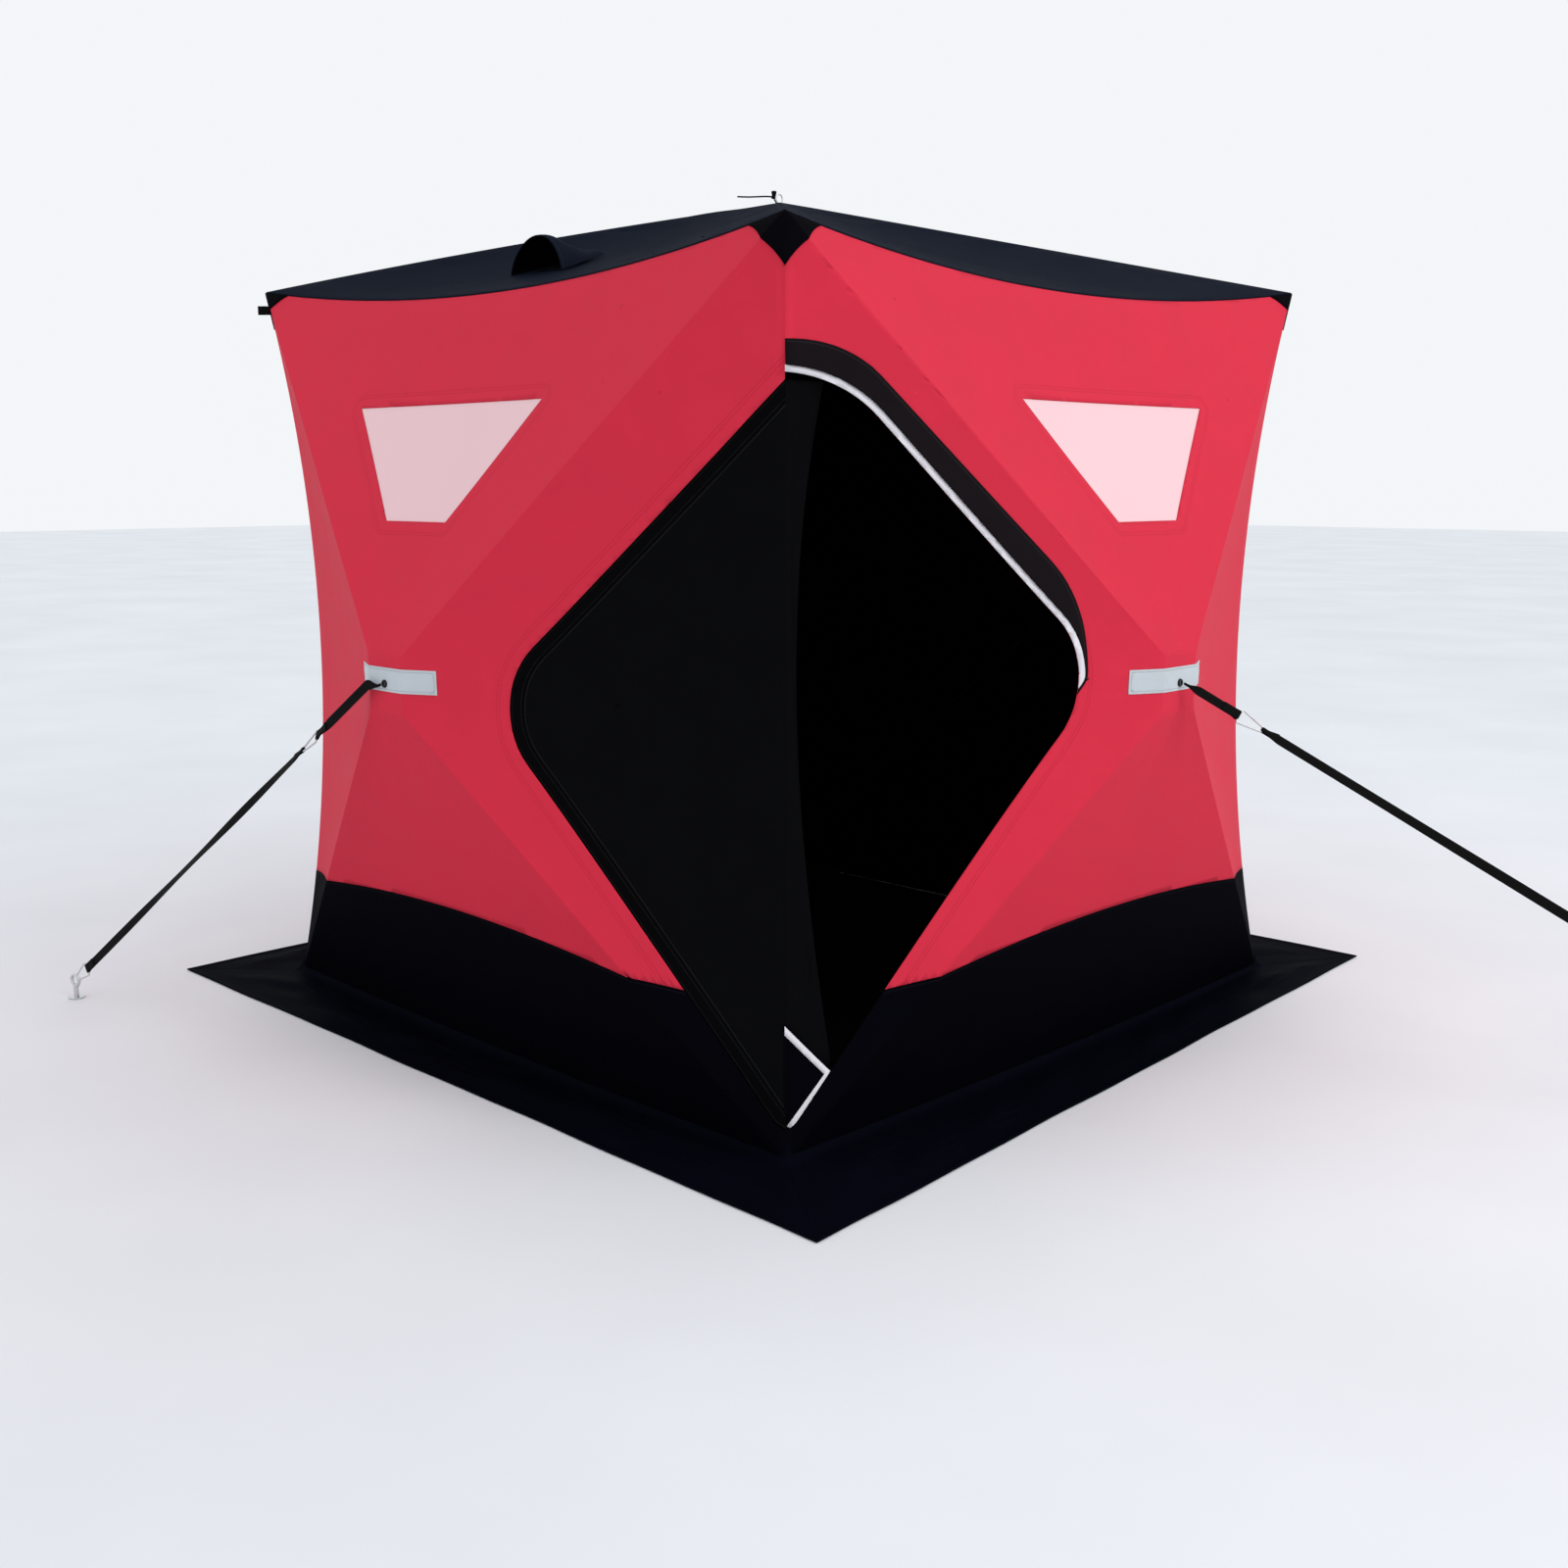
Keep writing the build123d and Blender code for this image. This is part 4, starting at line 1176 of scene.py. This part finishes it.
def hood_grid(rows=22, columns=41):
    """Arches up the slope, as cosines raised to a power. The width and the height fall from the
    mouth to the tail, and the top of the mouth lies further back than its two feet."""
    origin, up, normal = slope_frame()
    across = np.array([1.0, 0, 0])
    grid = []
    for v in np.linspace(0, 1, rows):
        share = 0.5 - 0.5 * math.cos(math.pi * v ** 0.9)
        half = HOOD_MOUTH[0] + (HOOD_TAIL[0] - HOOD_MOUTH[0]) * share
        rise = HOOD_MOUTH[1] + (HOOD_TAIL[1] - HOOD_MOUTH[1]) * share
        base = origin + up * HOOD_DEPTH * v - normal * HOOD_SUNK
        angle = np.linspace(0, math.pi, columns)[:, None]
        arch = base - across * half * np.cos(angle) + normal * (rise + HOOD_SUNK) * np.sin(angle) ** 1.25
        lean = HOOD_LEAN * (1 - v) * np.sin(angle) ** 1.5
        crease = 0.0018 * np.sin(7 * angle + 9 * v) * np.sin(angle) * math.sin(math.pi * v)
        grid.append(arch + up * lean + normal * crease)
    along_arch, up_slope = np.linspace(0, HOOD_ARCH, columns), np.linspace(0, HOOD_DEPTH, rows)
    spot = np.stack(np.meshgrid(along_arch, up_slope), axis=-1).reshape(-1, 2)
    return np.array(grid).reshape(-1, 3), grid_triangles(rows, columns), spot


points, faces, spot = hood_grid()
faces = facing(points, faces, (0, -0.3, 1))
hood = new_piece("vent_hood_cloth", points, faces, [ROOF, LINING], ["roof_vent_hood"], spot,
                 spot[:, 1], spot[:, 0])
give_thickness(hood, "hood")
declare_sheet(points, faces)
print("vent hood:", len(faces), "triangles")

# %% Mesh over the vent hole
NETTING_STEP = 0.0016
NETTING_DEPTH = 0.0032


def mesh_material():
    """Fine black netting: threads every 1.6 mm each way, and air between them."""
    material, tree, shader = new_material("vent_netting")
    uv = tree.nodes.new("ShaderNodeUVMap")
    uv.uv_map = "cloth"
    apart = tree.nodes.new("ShaderNodeSeparateXYZ")
    tree.links.new(uv.outputs[0], apart.inputs[0])
    threads = []
    for axis in (0, 1):
        turn = maths(tree, "MULTIPLY", apart.outputs[axis], math.pi / NETTING_STEP)
        wave = maths(tree, "ABSOLUTE", maths(tree, "SINE", turn))
        threads.append(maths(tree, "GREATER_THAN", wave, 0.80))
    solid = maths(tree, "MAXIMUM", *threads)
    tree.links.new(solid, shader.inputs["Alpha"])
    shader.inputs["Base Color"].default_value = (0.008, 0.008, 0.009, 1)
    shader.inputs["Roughness"].default_value = 0.6
    bumped(tree, shader, solid, 0.5, 0.0004)
    return material


NETTING = mesh_material()
table, placed, triangles = roof_surface("front")
used, faces = kept(table, triangles, lambda p: in_vent(p, WINDOW_FLANGE))
lowered = placed[used] - normals_of(placed, triangles)[used] * NETTING_DEPTH
netting = new_piece("vent_netting", lowered, faces, [NETTING], ["roof_vent_mesh"],
                    table[used][:, [0, 1]])
give_thickness(netting, "netting")
print("netting:", len(faces), "triangles")

# %% [markdown]
# The skirt is a strip of heavier cloth sewn to the foot of each wall. It lies on the ground and
# keeps the wind out. A soft roll leads from the wall on to the ground, and low ripples cross the
# strip, so its outer edge isn't quite straight. Its corners are mitred.

# %% Skirts
SKIRT_WIDTH = 0.220
SKIRT_ROLL = 0.030
SKIRT_CORNERS = [(-1.120, -1.120), (1.172, -1.100), (1.052, 1.182), (-1.120, 1.120)]
SKIRT_LIFT = 0.0045
HEM = 0.0016
EDGE_WANDER = 0.0016


def skirt_grid(side):
    """The front skirt as a grid: s runs along the wall, and v runs up the band's foot, round a
    quarter circle and out to the edge. The ripples' height is a product of sines, zero at the
    corners' mitres, and the edge wanders by a few millimetres."""
    rng = np.random.default_rng(90 + SIDES.index(side))
    count = 161
    s = closer_at_ends(count)
    foot = foot_seam(count)
    number = SIDES.index(side)
    ends = np.array([(*SKIRT_CORNERS[(number + step) % 4], FOOT) for step in (0, 1)])
    out = line(*turned(ends, SIDES[-number % 4]), count) - foot
    length = np.linalg.norm(out, axis=1, keepdims=True)
    out = out / length
    fade = smooth((1 - np.abs(s)) / 0.12)
    wander = np.sin(9 * s + rng.uniform(0, 6)) + 0.6 * np.sin(21 * s + rng.uniform(0, 6))
    wander *= EDGE_WANDER * fade
    rows = []
    for turn in np.linspace(0, math.pi / 2, 9):
        drop = [0, 0, SKIRT_ROLL * (1 - math.sin(turn))]
        rows.append(foot + out * SKIRT_ROLL * (1 - math.cos(turn)) + drop)
    for v in np.linspace(0, 1, 34)[1:]:
        reach = SKIRT_ROLL + (length[:, 0] - SKIRT_ROLL + wander) * v
        wave = np.sin(14 * s + 3 * v + rng.uniform(0, 1)) * np.sin(5 * s - 4 * v)
        wave += 0.5 * np.sin(31 * s + 6 * v)
        lift = SKIRT_LIFT * fade * (1 + wave) * math.sin(math.pi * min(1, v * 1.1)) ** 2
        hem = HEM * smooth((v - 0.93) / 0.02)
        rows.append(foot + out * reach[:, None] + np.stack([0 * s, 0 * s, lift + hem], axis=1))
    points = np.array(rows)
    across = np.tile(s * BASE_HALF, (len(rows), 1))
    along = np.repeat(np.linspace(0, SKIRT_WIDTH, len(rows))[:, None], count, axis=1)
    spot = np.stack([across, along], axis=-1).reshape(-1, 2)
    return points.reshape(-1, 3), grid_triangles(len(rows), count), spot


for side in SIDES:
    points, faces, spot = skirt_grid(side)
    faces = facing(points, faces, (0, -0.6, 1))
    skirt = new_piece(f"{side}_skirt_cloth", turned(points, side), faces, [SKIRT, LINING],
                      [f"{side}_snow_skirt"], spot, SKIRT_WIDTH - spot[:, 1], spot[:, 0])
    give_thickness(skirt, "skirt")
    declare_sheet(points, faces)
print("skirts:", len(SIDES))

# %% [markdown]
# Webbing, wire links and grommets hold the hubs outward. They could be boxes and rings, but
# webbing has ribs and thin edges, and it twists a little between its fixings, so it is a flat
# section carried along the guy's line. The wire is a round section carried round a closed path.

# %% Carrying a section along a path
def tube_quads(low, high):
    """The quads between rings of point numbers, one row a ring."""
    corners = [low, np.roll(low, -1, axis=1), np.roll(high, -1, axis=1), high]
    return np.stack(corners, axis=-1).reshape(-1, 4).tolist()


def carried(path, across, section, closed=False, width=1.0):
    """A closed section carried along a path: each ring is the section's first number along
    'across', times a width, and its second along the cross product of direction and 'across'."""
    path = np.asarray(path, float)
    width = np.broadcast_to(width, len(path))[:, None, None]
    if closed:
        direction = np.roll(path, -1, axis=0) - np.roll(path, 1, axis=0)
    else:
        direction = np.gradient(path, axis=0)
    direction /= np.linalg.norm(direction, axis=1, keepdims=True)
    across = np.broadcast_to(across, path.shape)
    across = across - direction * (across * direction).sum(axis=1, keepdims=True)
    across = across / np.linalg.norm(across, axis=1, keepdims=True)
    other = np.cross(direction, across)
    rings = path[:, None] + across[:, None] * section[None, :, :1] * width
    rings = rings + other[:, None] * section[None, :, 1:]
    index = np.arange(len(path) * len(section)).reshape(len(path), len(section))
    if closed:
        faces = tube_quads(index, np.roll(index, -1, axis=0))
    else:
        faces = tube_quads(index[:-1], index[1:]) + [index[0][::-1].tolist(), index[-1].tolist()]
    return rings.reshape(-1, 3), faces


def ring_section(radius, count=10):
    """A round section."""
    angle = np.linspace(0, 2 * math.pi, count, endpoint=False)
    return radius * np.stack([np.cos(angle), np.sin(angle)], axis=1)


def webbing_section(width, thickness, ribs=7):
    """A flat section with shallow ribs on both faces and rounded edges."""
    x = np.linspace(-1, 1, 4 * ribs + 1)
    half = thickness / 2 * (1 - 0.22 * (0.5 - 0.5 * np.cos(2 * math.pi * ribs * (x + 1) / 2)))
    half *= np.sqrt(np.clip(1 - x ** 12, 0.04, 1))
    top = np.stack([x * width / 2, half], axis=1)
    under = np.stack([x[::-1] * width / 2, -half[::-1]], axis=1)
    return np.concatenate([top, under])


def put_together(parts):
    """Several meshes as one: the points and faces of each in turn, with the faces renumbered."""
    points, faces, start = [], [], 0
    for part_points, part_faces in parts:
        points.append(np.asarray(part_points, float))
        faces += [[index + start for index in face] for face in part_faces]
        start += len(part_points)
    return np.concatenate(points), faces


print("points of a webbing's section:", len(webbing_section(0.022, 0.0018)))

# %% Metal, plastic and fibreglass
def hard_material(name, colour, roughness, metallic=0.0, grain=900.0, relief=0.25, worn=0.12, specular=0.5):
    """A moulded, drawn or plated finish: fine grain in the bump, soft blotches in the gloss, and
    a slight change of colour."""
    material, tree, shader = new_material(name)
    place = tree.nodes.new("ShaderNodeTexCoord").outputs["Object"]
    blotches = noise(tree, place, 22.0, 4.0, 0.6)
    dark = tuple(c * (1 - worn) for c in colour)
    light = tuple(min(1.0, c * (1 + worn)) for c in colour)
    tone = mixed(tree, spread(tree, blotches, 0.3, 0.7, 0, 1), dark, light)
    tree.links.new(tone, shader.inputs["Base Color"])
    rough = spread(tree, blotches, 0.3, 0.7, roughness * 0.8, roughness * 1.25)
    tree.links.new(rough, shader.inputs["Roughness"])
    shader.inputs["Metallic"].default_value = metallic
    shader.inputs["Specular IOR Level"].default_value = specular
    bumped(tree, shader, noise(tree, place, grain, 2.0, 0.5), relief, 0.0004)
    return material


def webbing_material():
    """Ribbed polyester webbing: threads that run the length of the strap, crossed by fine ones."""
    material, tree, shader = new_material("webbing")
    place = tree.nodes.new("ShaderNodeTexCoord").outputs["Object"]
    weave = placed_group(tree, WEAVE, Vector=place, Threads_per_metre=620.0)
    tone = mixed(tree, weave.outputs["Shade"], (0.0030, 0.0028, 0.0030), (0.0060, 0.0056, 0.0060))
    tree.links.new(tone, shader.inputs["Base Color"])
    rough = spread(tree, weave.outputs["Height"], 0.0, 1.0, 0.45, 0.6)
    tree.links.new(rough, shader.inputs["Roughness"])
    shader.inputs["Specular IOR Level"].default_value = 0.03
    bumped(tree, shader, weave.outputs["Height"], 0.6, 0.0006)
    return material


WEBBING = webbing_material()
RING = hard_material("pale_ring", (0.80, 0.80, 0.79), 0.45, relief=0.2, worn=0.05)
STEEL = hard_material("zinc_plated_steel", (0.62, 0.63, 0.65), 0.28, metallic=1.0, relief=0.15)
BLACKENED = hard_material("blackened_steel", (0.030, 0.030, 0.032), 0.38, metallic=1.0, relief=0.2)
PLASTIC = hard_material("moulded_hub", (0.006, 0.006, 0.007), 0.55, relief=0.35, specular=0.15)
POLE = hard_material("fibreglass_pole", (0.007, 0.007, 0.008), 0.50, grain=1400.0, specular=0.1)
for name, material in (("ice_anchors", STEEL), ("wall_hubs", PLASTIC), ("roof_hub", PLASTIC),
                       ("wall_poles", POLE), ("roof_poles", POLE)):
    finishes = bpy.data.objects[name].data.materials
    finishes.clear()
    finishes.append(material)
    print("finish:", name, material.name)

# %% Guys: sizes and lines
BENDS = {"front": 0.022, "right": 0.004, "back": 0.010, "left": 0.004}
GUYS = {"front": (-1.095, 1.423, 0.235), "right": (0.708, 2.396, 0.130),
        "back": (1.095, 1.423, 0.235), "left": (-0.708, 2.396, 0.130)}
GUY_START = np.array([0.0, -HUB_FACE - 0.0095, HUB_HEIGHT])
EYE_HEIGHT = 0.046
EYE_REACH = 0.0183
LINK_LENGTH = 0.060
WIRE = 0.002
WEBBING_SIZE = (0.022, 0.0018)
STEEP = 0.038
RIBBON_POINTS = 70
SEWN_POINTS = 12
SEWN_BACK = 0.036
LOOP_BLEND = 0.016


def guy_line(side):
    """The guy's direction, its length to the anchor's hook, and the webbing's width direction."""
    shift, reach, _ = GUYS[side]
    line_to_eye = np.array([shift, -reach, EYE_HEIGHT]) - GUY_START
    length = np.linalg.norm(line_to_eye)
    direction = line_to_eye / length
    across = np.cross(direction, [0.0, -1.0, 0.0])
    return direction, length - EYE_REACH - LINK_LENGTH, across / np.linalg.norm(across)


def lifted(side, along):
    """How far the guy lies off the straight line. Its start turns up out of the eyelet within
    STEEP, and from there it runs straight, so the lift falls evenly to the anchor."""
    direction, length, _ = guy_line(side)
    upward = np.cross(direction, [0.0, -1.0, 0.0]) * math.copysign(1, -direction[0])
    rest = np.clip((along - STEEP) / (length - STEEP), 0, 1)
    lift = BENDS[side] * np.minimum(smooth(along / 0.052) * 1.25, 1 - rest)
    return upward * lift[:, None]


def sewn_end(end, away):
    """The end of a ribbon that goes round a wire and is sewn back on itself: half a turn of the
    wire's radius, then SEWN_BACK of webbing under the ribbon. Places along the guy and off it."""
    half = WEBBING_SIZE[1] / 2
    grip = WIRE + half
    turn = np.linspace(0, math.pi, 9)[1:-1]
    ease = np.linspace(0, 1, SEWN_POINTS)
    under = -grip + (grip - 2.2 * half) * smooth(ease * SEWN_BACK / LOOP_BLEND)
    along = np.concatenate([end + away * grip * np.sin(turn), end - away * SEWN_BACK * ease])
    return along, np.concatenate([grip * np.cos(turn), under])


def strap_ribbon(side, first, last, rolls, twist, narrow, looped_start):
    """Webbing along the guy between two distances, given as an offset from the guy's line. It
    ends round a wire, and starts round one if told so. The rolls turn the width about the line
    at both ends and blend close to the first link, and the twist adds to them between."""
    direction, _, across = guy_line(side)
    other = np.cross(direction, across)
    grip = WIRE + WEBBING_SIZE[1] / 2
    along = first + (last - first) * np.linspace(0, 1, RIBBON_POINTS)
    off = grip * smooth((along - last + LOOP_BLEND) / LOOP_BLEND)
    if looped_start:
        off += grip * (1 - smooth((along - first) / LOOP_BLEND))
        start_along, start_off = sewn_end(first, -1)
        along = np.concatenate([start_along[::-1], along])
        off = np.concatenate([start_off[::-1], off])
    end_along, end_off = sewn_end(last, 1)
    along = np.concatenate([along, end_along])
    off = np.concatenate([off, end_off])
    place = np.clip((along - first) / (last - first), 0, 1)
    near_link = smooth((place - 0.78) / 0.16) if rolls[1] else smooth(place / 0.3)
    angle = rolls[0] + (rolls[1] - rolls[0]) * near_link + twist * np.sin(math.pi * smooth(place)) ** 2
    turned_across = across * np.cos(angle)[:, None] + other * np.sin(angle)[:, None]
    turned_other = np.cross(direction, turned_across)
    path = GUY_START + direction * along[:, None] + turned_other * off[:, None] + lifted(side, along)
    width = 1 - narrow * (1 - smooth((along - first - 0.008) / 0.028))
    return carried(path, turned_across, webbing_section(*WEBBING_SIZE), width=width)


def closed_rounding(corners, radius, steps=6):
    """A closed outline through corners, each turned by an arc of one radius."""
    ring = [corners[-1]] + list(corners) + [corners[0]]
    return rounded(ring, [radius] * len(corners), steps)[1:-1]


def link_wire(side, first, roll=0.0):
    """A wire link in the webbing's plane: a trapezoid with its wide end up and rounded turns."""
    direction, _, across = guy_line(side)
    across = across * math.cos(roll) + np.cross(direction, across) * math.sin(roll)
    low, high = WIRE, LINK_LENGTH - WIRE
    plan = closed_rounding([(-0.018, low), (0.018, low), (0.0055, high), (-0.0055, high)], 0.0045)
    path = GUY_START + direction * (first + plan[:, 1:]) + across * plan[:, :1]
    path = path + lifted(side, first + plan[:, 1])
    return carried(path, np.cross(direction, across), ring_section(WIRE), closed=True)


def lathe(profile, origin, axis, count=48):
    """A profile of (radius, height) turned round an axis, as a closed ring of rings."""
    axis = np.array(axis, float)
    first = np.cross(axis, [0.3, 0.5, 0.81])
    first /= np.linalg.norm(first)
    second = np.cross(axis, first)
    angle = np.linspace(0, 2 * math.pi, count, endpoint=False)
    radial = first * np.cos(angle)[:, None] + second * np.sin(angle)[:, None]
    profile = np.array(profile, float)
    rings = np.array(origin) + radial[:, None] * profile[None, :, :1] + axis * profile[None, :, 1:]
    index = np.arange(count * len(profile)).reshape(count, len(profile))
    return rings.reshape(-1, 3), tube_quads(index, np.roll(index, -1, axis=0))


def grommet():
    """The rolled ring of the hub's eyelet: a half-round collar round a hole."""
    angle = np.linspace(0, math.pi, 9)
    collar = np.stack([0.0058 + 0.0027 * np.cos(angle), 0.0005 + 0.0027 * np.sin(angle)], axis=1)
    inner = [(0.0031, -0.0060), (0.0085, -0.0060)]
    return lathe(np.concatenate([collar, inner]), (0, -HUB_FACE - 0.0015, HUB_HEIGHT), (0, -1, 0))


print("guys' lengths:", [round(float(guy_line(side)[1]), 3) for side in SIDES])

# %% Guys: straps, links and grommets
TWISTS = {"front": 0.5, "right": 0.25, "back": -0.6, "left": 0.4}
ROLLS = {"front": 0.55, "right": 0.0, "back": 0.5, "left": 0.0}
steel_parts, grommet_parts = [], []
for side in SIDES:
    link_start, roll = GUYS[side][2], ROLLS[side]
    hook_start = guy_line(side)[1] + 0.0115
    upper = strap_ribbon(side, 0.001, link_start, (0.0, roll), 0.0, 0.72, False)
    lower = strap_ribbon(side, link_start + LINK_LENGTH - WIRE, hook_start + WIRE, (roll, 0.0),
                         TWISTS[side], 0.5, True)
    points, faces = put_together([upper, lower])
    strap = new_piece(f"{side}_guy_webbing", turned(points, side), faces, [WEBBING],
                      [f"{side}_guy_strap"])
    for points, faces in (link_wire(side, link_start, roll), link_wire(side, hook_start)):
        steel_parts.append((turned(points, side), faces))
    points, faces = grommet()
    grommet_parts.append((turned(points, side), faces))
points, faces = put_together(steel_parts)
links = new_piece("guy_link_wires", points, faces, [STEEL], ["guy_links"])
points, faces = put_together(grommet_parts)
new_piece("hub_grommets", points, faces, [BLACKENED], ["guy_links"])
print("webbing:", len(strap.data.polygons), "faces a guy, links:", len(links.data.polygons))

# %% [markdown]
# Two small things are left: the strap with its ring and toggle on top of the roof, which pulls
# the hub down to fold the hut, and a webbing loop on the front left corner.

# %% Roof pull and corner loop
LOOP_HEIGHT = 1.699
LOOP_LENGTH = 0.032


def flat_loop(width):
    """The corner loop seen from above: out from the corner, round a tight nose and back."""
    turn = np.linspace(math.pi / 2, -math.pi / 2, 9)
    start = corner_distance(np.array([LOOP_HEIGHT]))[0] - 0.002
    nose = start + LOOP_LENGTH - width
    along = np.concatenate([np.linspace(start, nose, 8)[:-1], nose + width * np.cos(turn),
                            np.linspace(nose, start, 8)[1:]])
    swell = width + 0.0006 * np.sin(np.linspace(0, math.pi, 8))[:-1]
    across = np.concatenate([swell, width * np.sin(turn), -swell[::-1]])
    x, y = (-along + across) / math.sqrt(2), (-along - across) / math.sqrt(2)
    return np.stack([x, y, np.full(len(x), LOOP_HEIGHT)], axis=1)


def pull_place(shift, height):
    """A place over the roof hub, along the diagonal that the strap follows."""
    return np.array([-shift / math.sqrt(2), -shift / math.sqrt(2), ROOF_PEAK + CLOTH + height])


points, faces = carried(flat_loop(0.0013), (0, 0, 1.0), webbing_section(0.021, 0.0014))
loop = new_piece("corner_webbing_loop", points, faces, [WEBBING], ["corner_loop"])


PULL_PATH = [(-0.014, 0.0016), (0.003, 0.0016), (0.018, 0.0268), (0.105, 0.0268)]
plan = rounded(PULL_PATH, [0.006, 0.008], 8)
plan = np.concatenate([line(a, b, 6)[:-1] for a, b in zip(plan, plan[1:])] + [plan[-1:]])
plan[:, 1] += 0.0008 * np.sin(60 * plan[:, 0]) * smooth((plan[:, 0] - 0.02) / 0.02)
strap_line = np.array([pull_place(*spot) for spot in plan])
pull_strap = carried(strap_line, (-1.0, 1.0, 0.0), webbing_section(0.012, 0.0026, 4))
angle = np.linspace(0, 2 * math.pi, 14, endpoint=False)
rim = np.stack([0.0110 + 0.0020 * np.cos(angle), 0.0020 * np.sin(angle)], axis=1)
ring = lathe(rim, pull_place(0.002, 0.022), (1, 0, 0))
toggle_profile = [(0.0004, 0.0), (0.0052, 0.0), (0.0068, 0.0016), (0.0060, 0.0050), (0.0050, 0.0090),
                  (0.0062, 0.0135), (0.0068, 0.0160), (0.0050, 0.0180), (0.0004, 0.0180)]
toggle = lathe(toggle_profile, pull_place(0.015, 0.022), (0, 0, 1), 32)
points, faces = put_together([pull_strap, ring, toggle])
pull = new_piece("roof_pull_strap", points, faces, [WEBBING, RING], ["roof_pull"])
pale = np.zeros(len(faces), np.int32)
pale[len(pull_strap[1]):len(pull_strap[1]) + len(ring[1])] = 1
pull.data.polygons.foreach_set("material_index", pale)
print("roof pull:", len(faces), "faces, loop:", len(loop.data.polygons))

# %% [markdown]
# The stage is a pale floor under a pale sky. The sky gives most of the light, as on a bright
# overcast day, and one broad lamp from the upper right gives the facets their shades.

# %% Floor and world
def floor_material():
    """A pale matt floor with faint patches, and painted shade under the hut: the floor's colour is
    near black within the hut's footprint, so that no pale ground shows through the doorway."""
    material, tree, shader = new_material("pale_floor")
    place = tree.nodes.new("ShaderNodeTexCoord").outputs["Object"]
    patches = spread(tree, noise(tree, place, 0.8, 4.0, 0.55), 0.3, 0.7, 0.0, 1.0)
    tone = mixed(tree, patches, (0.74, 0.75, 0.77), (0.80, 0.81, 0.83))
    # Painted shade: the floor's colour is near black within the hut's footprint, where the inside lies in
    # shadow.
    apart = tree.nodes.new("ShaderNodeSeparateXYZ")
    tree.links.new(place, apart.inputs[0])
    along_x, along_y = (maths(tree, "ABSOLUTE", apart.outputs[axis]) for axis in (0, 1))
    reach = maths(tree, "MAXIMUM", along_x, along_y)
    under = maths(tree, "LESS_THAN", reach, BASE_HALF + 0.012)
    tree.links.new(mixed(tree, under, tone, (0.002, 0.002, 0.002)), shader.inputs["Base Color"])
    shader.inputs["Roughness"].default_value = 0.8
    shader.inputs["Specular IOR Level"].default_value = 0.2
    return material


def studio_floor():
    """A wide square floor just under the hut."""
    half = 40.0
    mesh = bpy.data.meshes.new("floor")
    corners = [(-half, -half, 0), (half, -half, 0), (half, half, 0), (-half, half, 0)]
    mesh.from_pydata(corners, [], [(0, 1, 2, 3)])
    mesh.materials.append(floor_material())
    floor = bpy.data.objects.new("floor", mesh)
    bpy.context.scene.collection.objects.link(floor)


def studio_world(light, shown):
    """A sky that lights the hut at one strength, and that the camera, mirrors and glass see at
    another."""
    world = bpy.data.worlds.new("studio_sky")
    world.use_nodes = True
    tree = world.node_tree
    lit = tree.nodes["Background"]
    lit.inputs["Color"].default_value = (0.92, 0.96, 1.0, 1)
    lit.inputs["Strength"].default_value = light
    seen = tree.nodes.new("ShaderNodeBackground")
    seen.inputs["Color"].default_value = (0.90, 0.92, 0.94, 1)
    seen.inputs["Strength"].default_value = shown
    ray = tree.nodes.new("ShaderNodeLightPath")
    any_ray = maths(tree, "MAXIMUM", ray.outputs["Is Camera Ray"], ray.outputs["Is Glossy Ray"])
    any_ray = maths(tree, "MAXIMUM", any_ray, ray.outputs["Is Transmission Ray"])
    mix = tree.nodes.new("ShaderNodeMixShader")
    tree.links.new(any_ray, mix.inputs[0])
    tree.links.new(lit.outputs[0], mix.inputs[1])
    tree.links.new(seen.outputs[0], mix.inputs[2])
    tree.links.new(mix.outputs[0], tree.nodes["World Output"].inputs["Surface"])
    bpy.context.scene.world = world


studio_floor()
studio_world(1.06, 1.0)
print("floor and sky:", bpy.context.scene.world.name)

# %% Lamps and camera
def soft_lamp(name, place, target, size, power, colour):
    """A broad square lamp that points at a place."""
    lamp = bpy.data.lights.new(name, "AREA")
    lamp.shape = "SQUARE"
    lamp.size = size
    lamp.energy = power
    lamp.color = colour
    holder = bpy.data.objects.new(name, lamp)
    bpy.context.scene.collection.objects.link(holder)
    holder.location = place
    holder.rotation_euler = (Vector(target) - Vector(place)).to_track_quat("-Z", "Y").to_euler()


CAMERA_PLACE = (2.961, -3.001, 1.287)
CAMERA_TURN, CAMERA_PITCH, CAMERA_ROLL = -0.0089, -0.184, 0.0003
soft_lamp("key_lamp", (5.6, 0.7, 4.2), (0, 0, 0.9), 3.0, 95.0, (1.0, 0.99, 0.98))
lens = bpy.data.cameras.new("studio_camera")
lens.lens = 37.57
lens.sensor_width = 36.0
lens.sensor_fit = "HORIZONTAL"
camera = bpy.data.objects.new("studio_camera", lens)
bpy.context.scene.collection.objects.link(camera)
camera.location = CAMERA_PLACE
aim = Matrix.Rotation(math.radians(45), 3, "Z") @ Matrix.Rotation(CAMERA_TURN, 3, "Z")
aim = aim @ Matrix.Rotation(CAMERA_PITCH, 3, "X") @ Matrix.Rotation(CAMERA_ROLL, 3, "Y")
camera.rotation_euler = (aim @ Matrix.Rotation(math.radians(90), 3, "X")).to_euler()
bpy.context.scene.camera = camera
bpy.context.scene.view_settings.view_transform = "Standard"
print("camera at", CAMERA_PLACE, "with a", lens.lens, "mm lens")

# %% Update at the end
bpy.context.view_layer.update()
